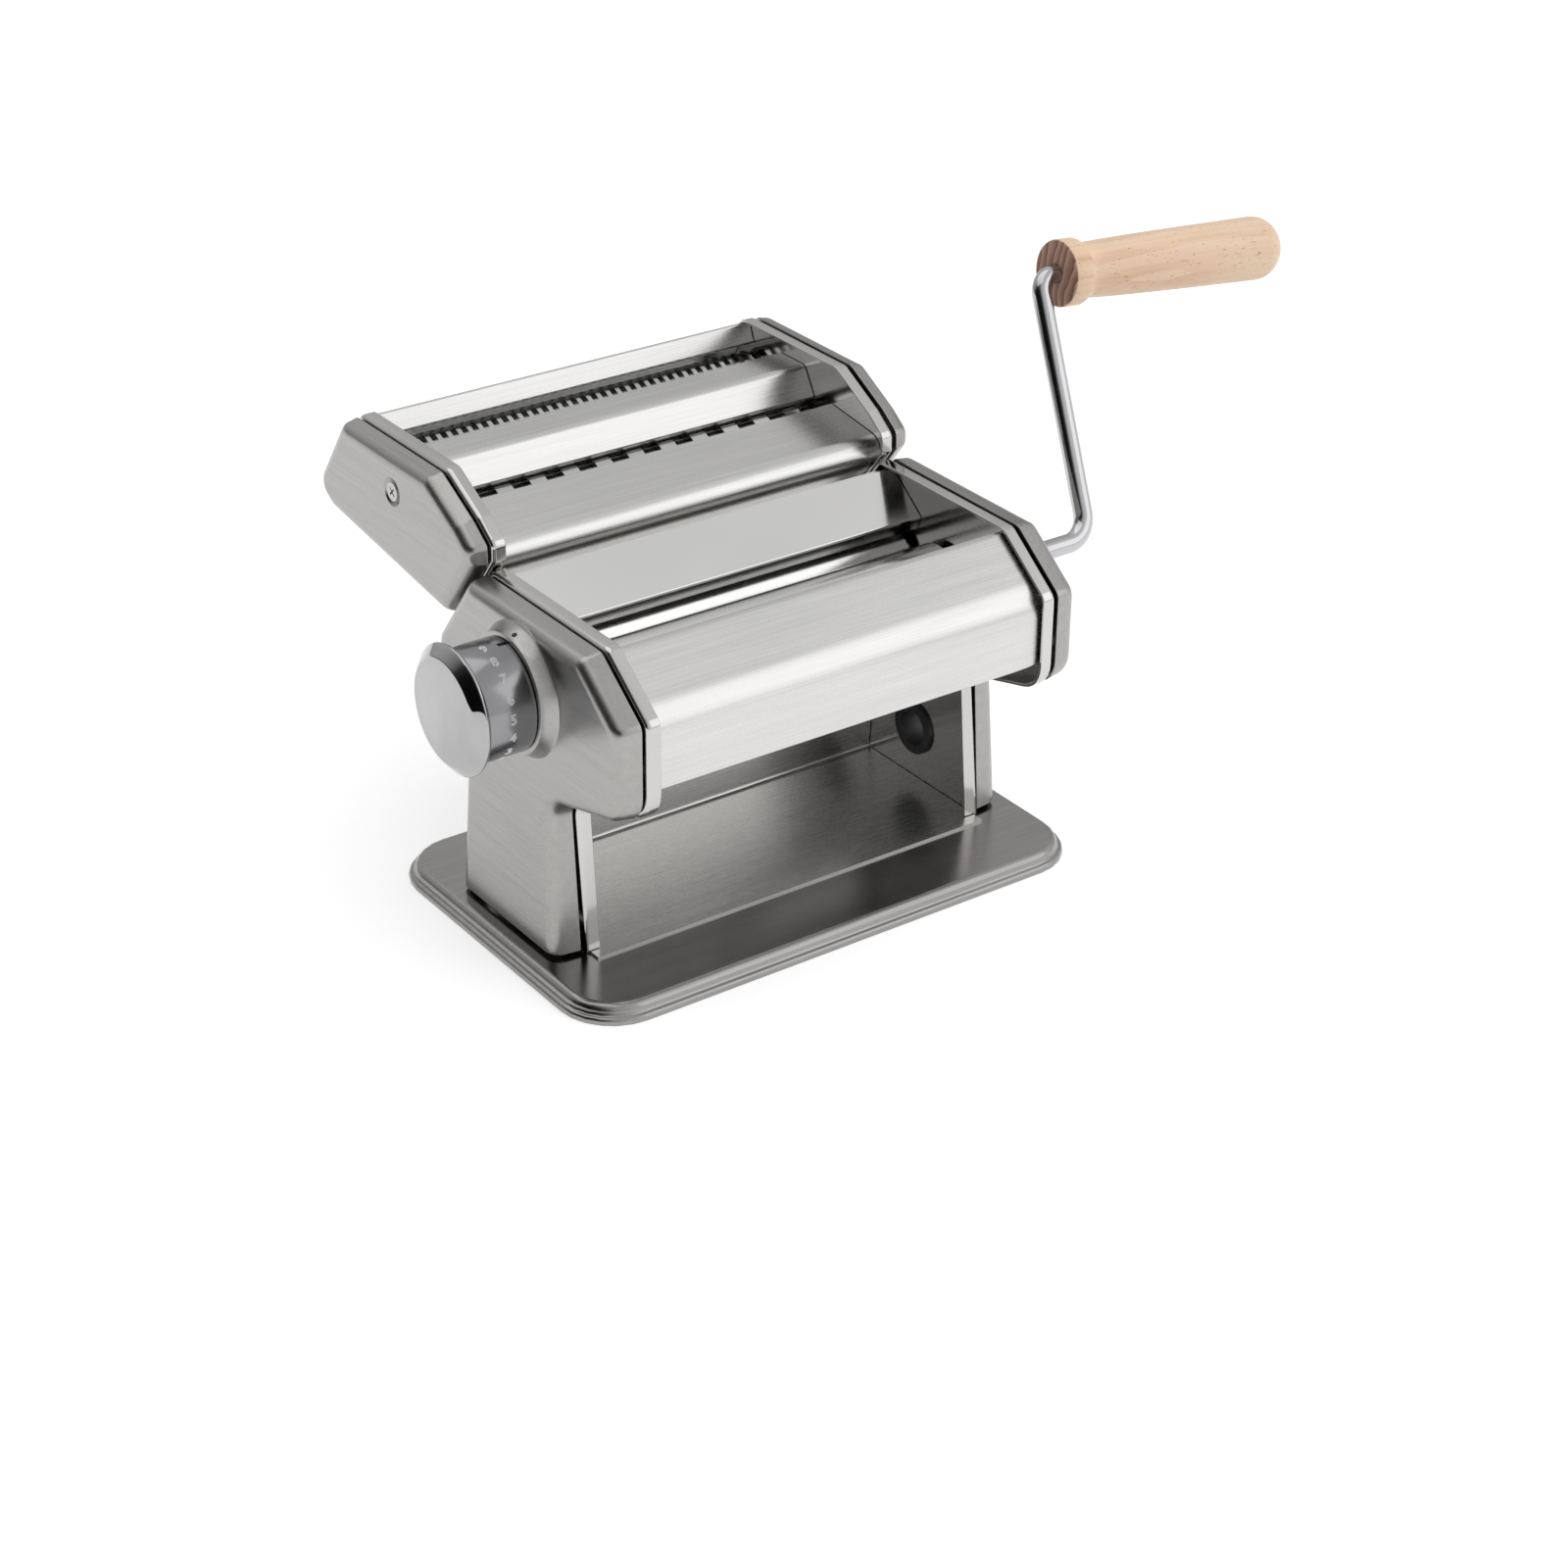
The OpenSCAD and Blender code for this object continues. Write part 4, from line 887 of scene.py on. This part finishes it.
boss = {"face": -0.0899, "rise": 0.0053, "foot": 0.0226, "top": 0.0199, "bore": 0.0180, "root": -0.0856}
bossEnd = boss["face"] - boss["rise"]
flare = eased([(boss["foot"], boss["face"]), (0.0221, boss["face"] - 0.0006),
               (0.0213, boss["face"] - 0.0020), (0.0205, boss["face"] - 0.0038),
               (boss["top"] + 0.0003, bossEnd + 0.0002)], 5)
bossProfile = flare + [(boss["top"], bossEnd), (boss["bore"], bossEnd),
                       (boss["bore"], boss["root"]), (boss["foot"], boss["root"])]
addPiece("dialBoss", turnedMesh(bossProfile, 128, dialPlace), coverSteelPaintedShade, ["left_side_cover"], extra=True)
addPiece("dialBarrel", barrelMesh(), dialChrome, ["dial_barrel"])
addPiece("dialKnob", knobMesh(), knobPaint(), ["dial_knob"])
digits = stippleGrowth().grow(digitOutlines())
digits.shade_smooth()
addPiece("dialDigits", digits, digitSteelPaintedHighlight, ["dial_barrel"], extra=True)

# the index pit is a near-black disc just proud of the boss: painted shade in place of a recess
indexPit = {"radius": 0.0009, "x": -0.0931, "out": 0.0020, "lean": (-0.406, 0.914)}
pitNormal = Vector((indexPit["lean"][0], -indexPit["lean"][1] * math.cos(math.radians(dial["index"])),
                    indexPit["lean"][1] * math.sin(math.radians(dial["index"]))))
pitPlace = Matrix.Translation(onBarrel(indexPit["x"], dial["index"], indexPit["out"])) \
    @ pitNormal.to_track_quat("X", "Z").to_matrix().to_4x4()
pitProfile = [(0, -0.0004), (indexPit["radius"], -0.0004), (indexPit["radius"], 0.00006),
              (indexPit["radius"] * 0.6, 0.0001), (0, 0.00012)]
addPiece("dialIndexPit", turnedMesh(pitProfile, 24, pitPlace, closed=False), pitPaintedShade, ["left_side_cover"],
         extra=True)
print("dial")


# floor, light and camera
def softBox(name, spot, size, power):
    lamp = bpy.data.lights.new(name, "AREA")
    lamp.shape = "RECTANGLE"
    lamp.size, lamp.size_y = size
    lamp.energy = power
    made = placedObject(name, lamp)
    made.location = spot
    aim = Vector(stage["middle"]) - Vector(spot)
    made.rotation_euler = aim.to_track_quat("-Z", "Y").to_euler()


def floorPaint():
    # white to the camera and in reflections, with the object's shadow left on it
    paint = Paint("tableTopWhite", Base_Color=(0.90, 0.90, 0.90), Roughness=0.8, Specular_IOR_Level=0.1)
    seen, glossy, clear = paint.node("ShaderNodeLightPath").parts("Is Camera Ray", "Is Glossy Ray",
                                                                  "Is Transmission Ray")
    glow = paint.node("ShaderNodeEmission", {}, {"Color": (1, 1, 1, 1), "Strength": stage["floorGlow"]})
    unlit = paint.node("ShaderNodeEmission", {}, {"Strength": 0.0})
    lift = paint.node("ShaderNodeMixShader", {}, {0: seen + glossy + clear, 1: unlit, 2: glow})
    both = paint.node("ShaderNodeAddShader", {}, {0: Wire(paint, paint.shader.outputs[0]), 1: lift})
    paint.group.links.new(both.socket, paint.group.nodes["Material Output"].inputs["Surface"])
    return paint.material


stage = {"reach": 6, "floorGlow": 0.45, "middle": (0, 0.02, 0.08),
         "boxes": {"keyBox": ((1.12, -1.22, 1.0), (1.4, 1.4), 3.4),
                   "topBox": ((-0.4, 0.5, 1.9), (1.9, 1.9), 9)},
         "front": {"toward": (0.61, -0.71, 0.36),
                   "stops": [(0.0, 0.10), (0.35, 0.14), (0.50, 0.30), (0.67, 0.60), (0.88, 0.86),
                             (1.0, 0.98)]},
         "shade": {"toward": (-0.97, -0.16, 0.18),
                   "stops": [(0.0, 1.0), (0.84, 1.0), (0.90, 0.45), (0.95, 0.10), (1.0, 0.04)]},
         "back": {"toward": (-0.05, 0.86, 0.51),
                  "stops": [(0.0, 0.0), (0.79, 0.0), (0.90, 0.28), (0.96, 0.50), (1.0, 0.52)]}}
reach = stage["reach"]
floorMesh = bpy.data.meshes.new("tableTop")
floorMesh.from_pydata([(-reach, -reach, 0), (reach, -reach, 0), (reach, reach, 0), (-reach, reach, 0)],
                      [], [(0, 1, 2, 3)])
floor = placedObject("tableTop", floorMesh)
floorMesh.materials.append(floorPaint())

# the studio is bright to the front right, shaded on the left and lifted above the back
world = bpy.data.worlds.new("studio")
bpy.context.scene.world = world
world.use_nodes = True
room = Tree(world.node_tree)
toward = room.node("ShaderNodeTexCoord", out="Generated")


def wash(name):
    # light that depends on how far a direction is from one corner of the room
    facing = room.node("ShaderNodeVectorMath", {"operation": "DOT_PRODUCT"},
                       {0: toward, 1: stage[name]["toward"]}, out="Value")
    return room.node("ShaderNodeValToRGB", {"stops": [(at, (v, v, v)) for at, v in stage[name]["stops"]]},
                     {"Fac": facing * 0.5 + 0.5})


tone = wash("front") * wash("shade") + wash("back")
backdrop = world.node_tree.nodes["Background"]
world.node_tree.links.new(tone.socket, backdrop.inputs["Color"])
backdrop.inputs["Strength"].default_value = 1.0

for name, box in stage["boxes"].items():
    softBox(name, *box)

cameraFit = {"spot": (-0.5663, -0.8025, 0.5751), "azimuth": 35.40, "elevation": 27.13, "roll": 0.40,
             "focal": 3400 / 1600 * 36, "centre": (764.3, 687.3), "picture": 1600}


def addCamera(fit):
    turn, dip, roll = (math.radians(fit[k]) for k in ("azimuth", "elevation", "roll"))
    forward = Vector((math.sin(turn) * math.cos(dip), math.cos(turn) * math.cos(dip), -math.sin(dip)))
    right = Vector((math.cos(turn), -math.sin(turn), 0))
    up = right.cross(forward)
    right, up = (right * math.cos(roll) + up * math.sin(roll),
                 up * math.cos(roll) - right * math.sin(roll))
    lens = bpy.data.cameras.new("studioCamera")
    lens.sensor_width = 36
    lens.lens = fit["focal"]
    lens.shift_x = 0.5 - fit["centre"][0] / fit["picture"]
    lens.shift_y = fit["centre"][1] / fit["picture"] - 0.5
    lens.clip_start = 0.05
    made = placedObject("studioCamera", lens)
    made.matrix_world = Matrix((right, up, -forward)).transposed().to_4x4()
    made.location = fit["spot"]
    bpy.context.scene.camera = made


addCamera(cameraFit)
bpy.context.scene.view_settings.view_transform = "Standard"
print("floor, light and camera")
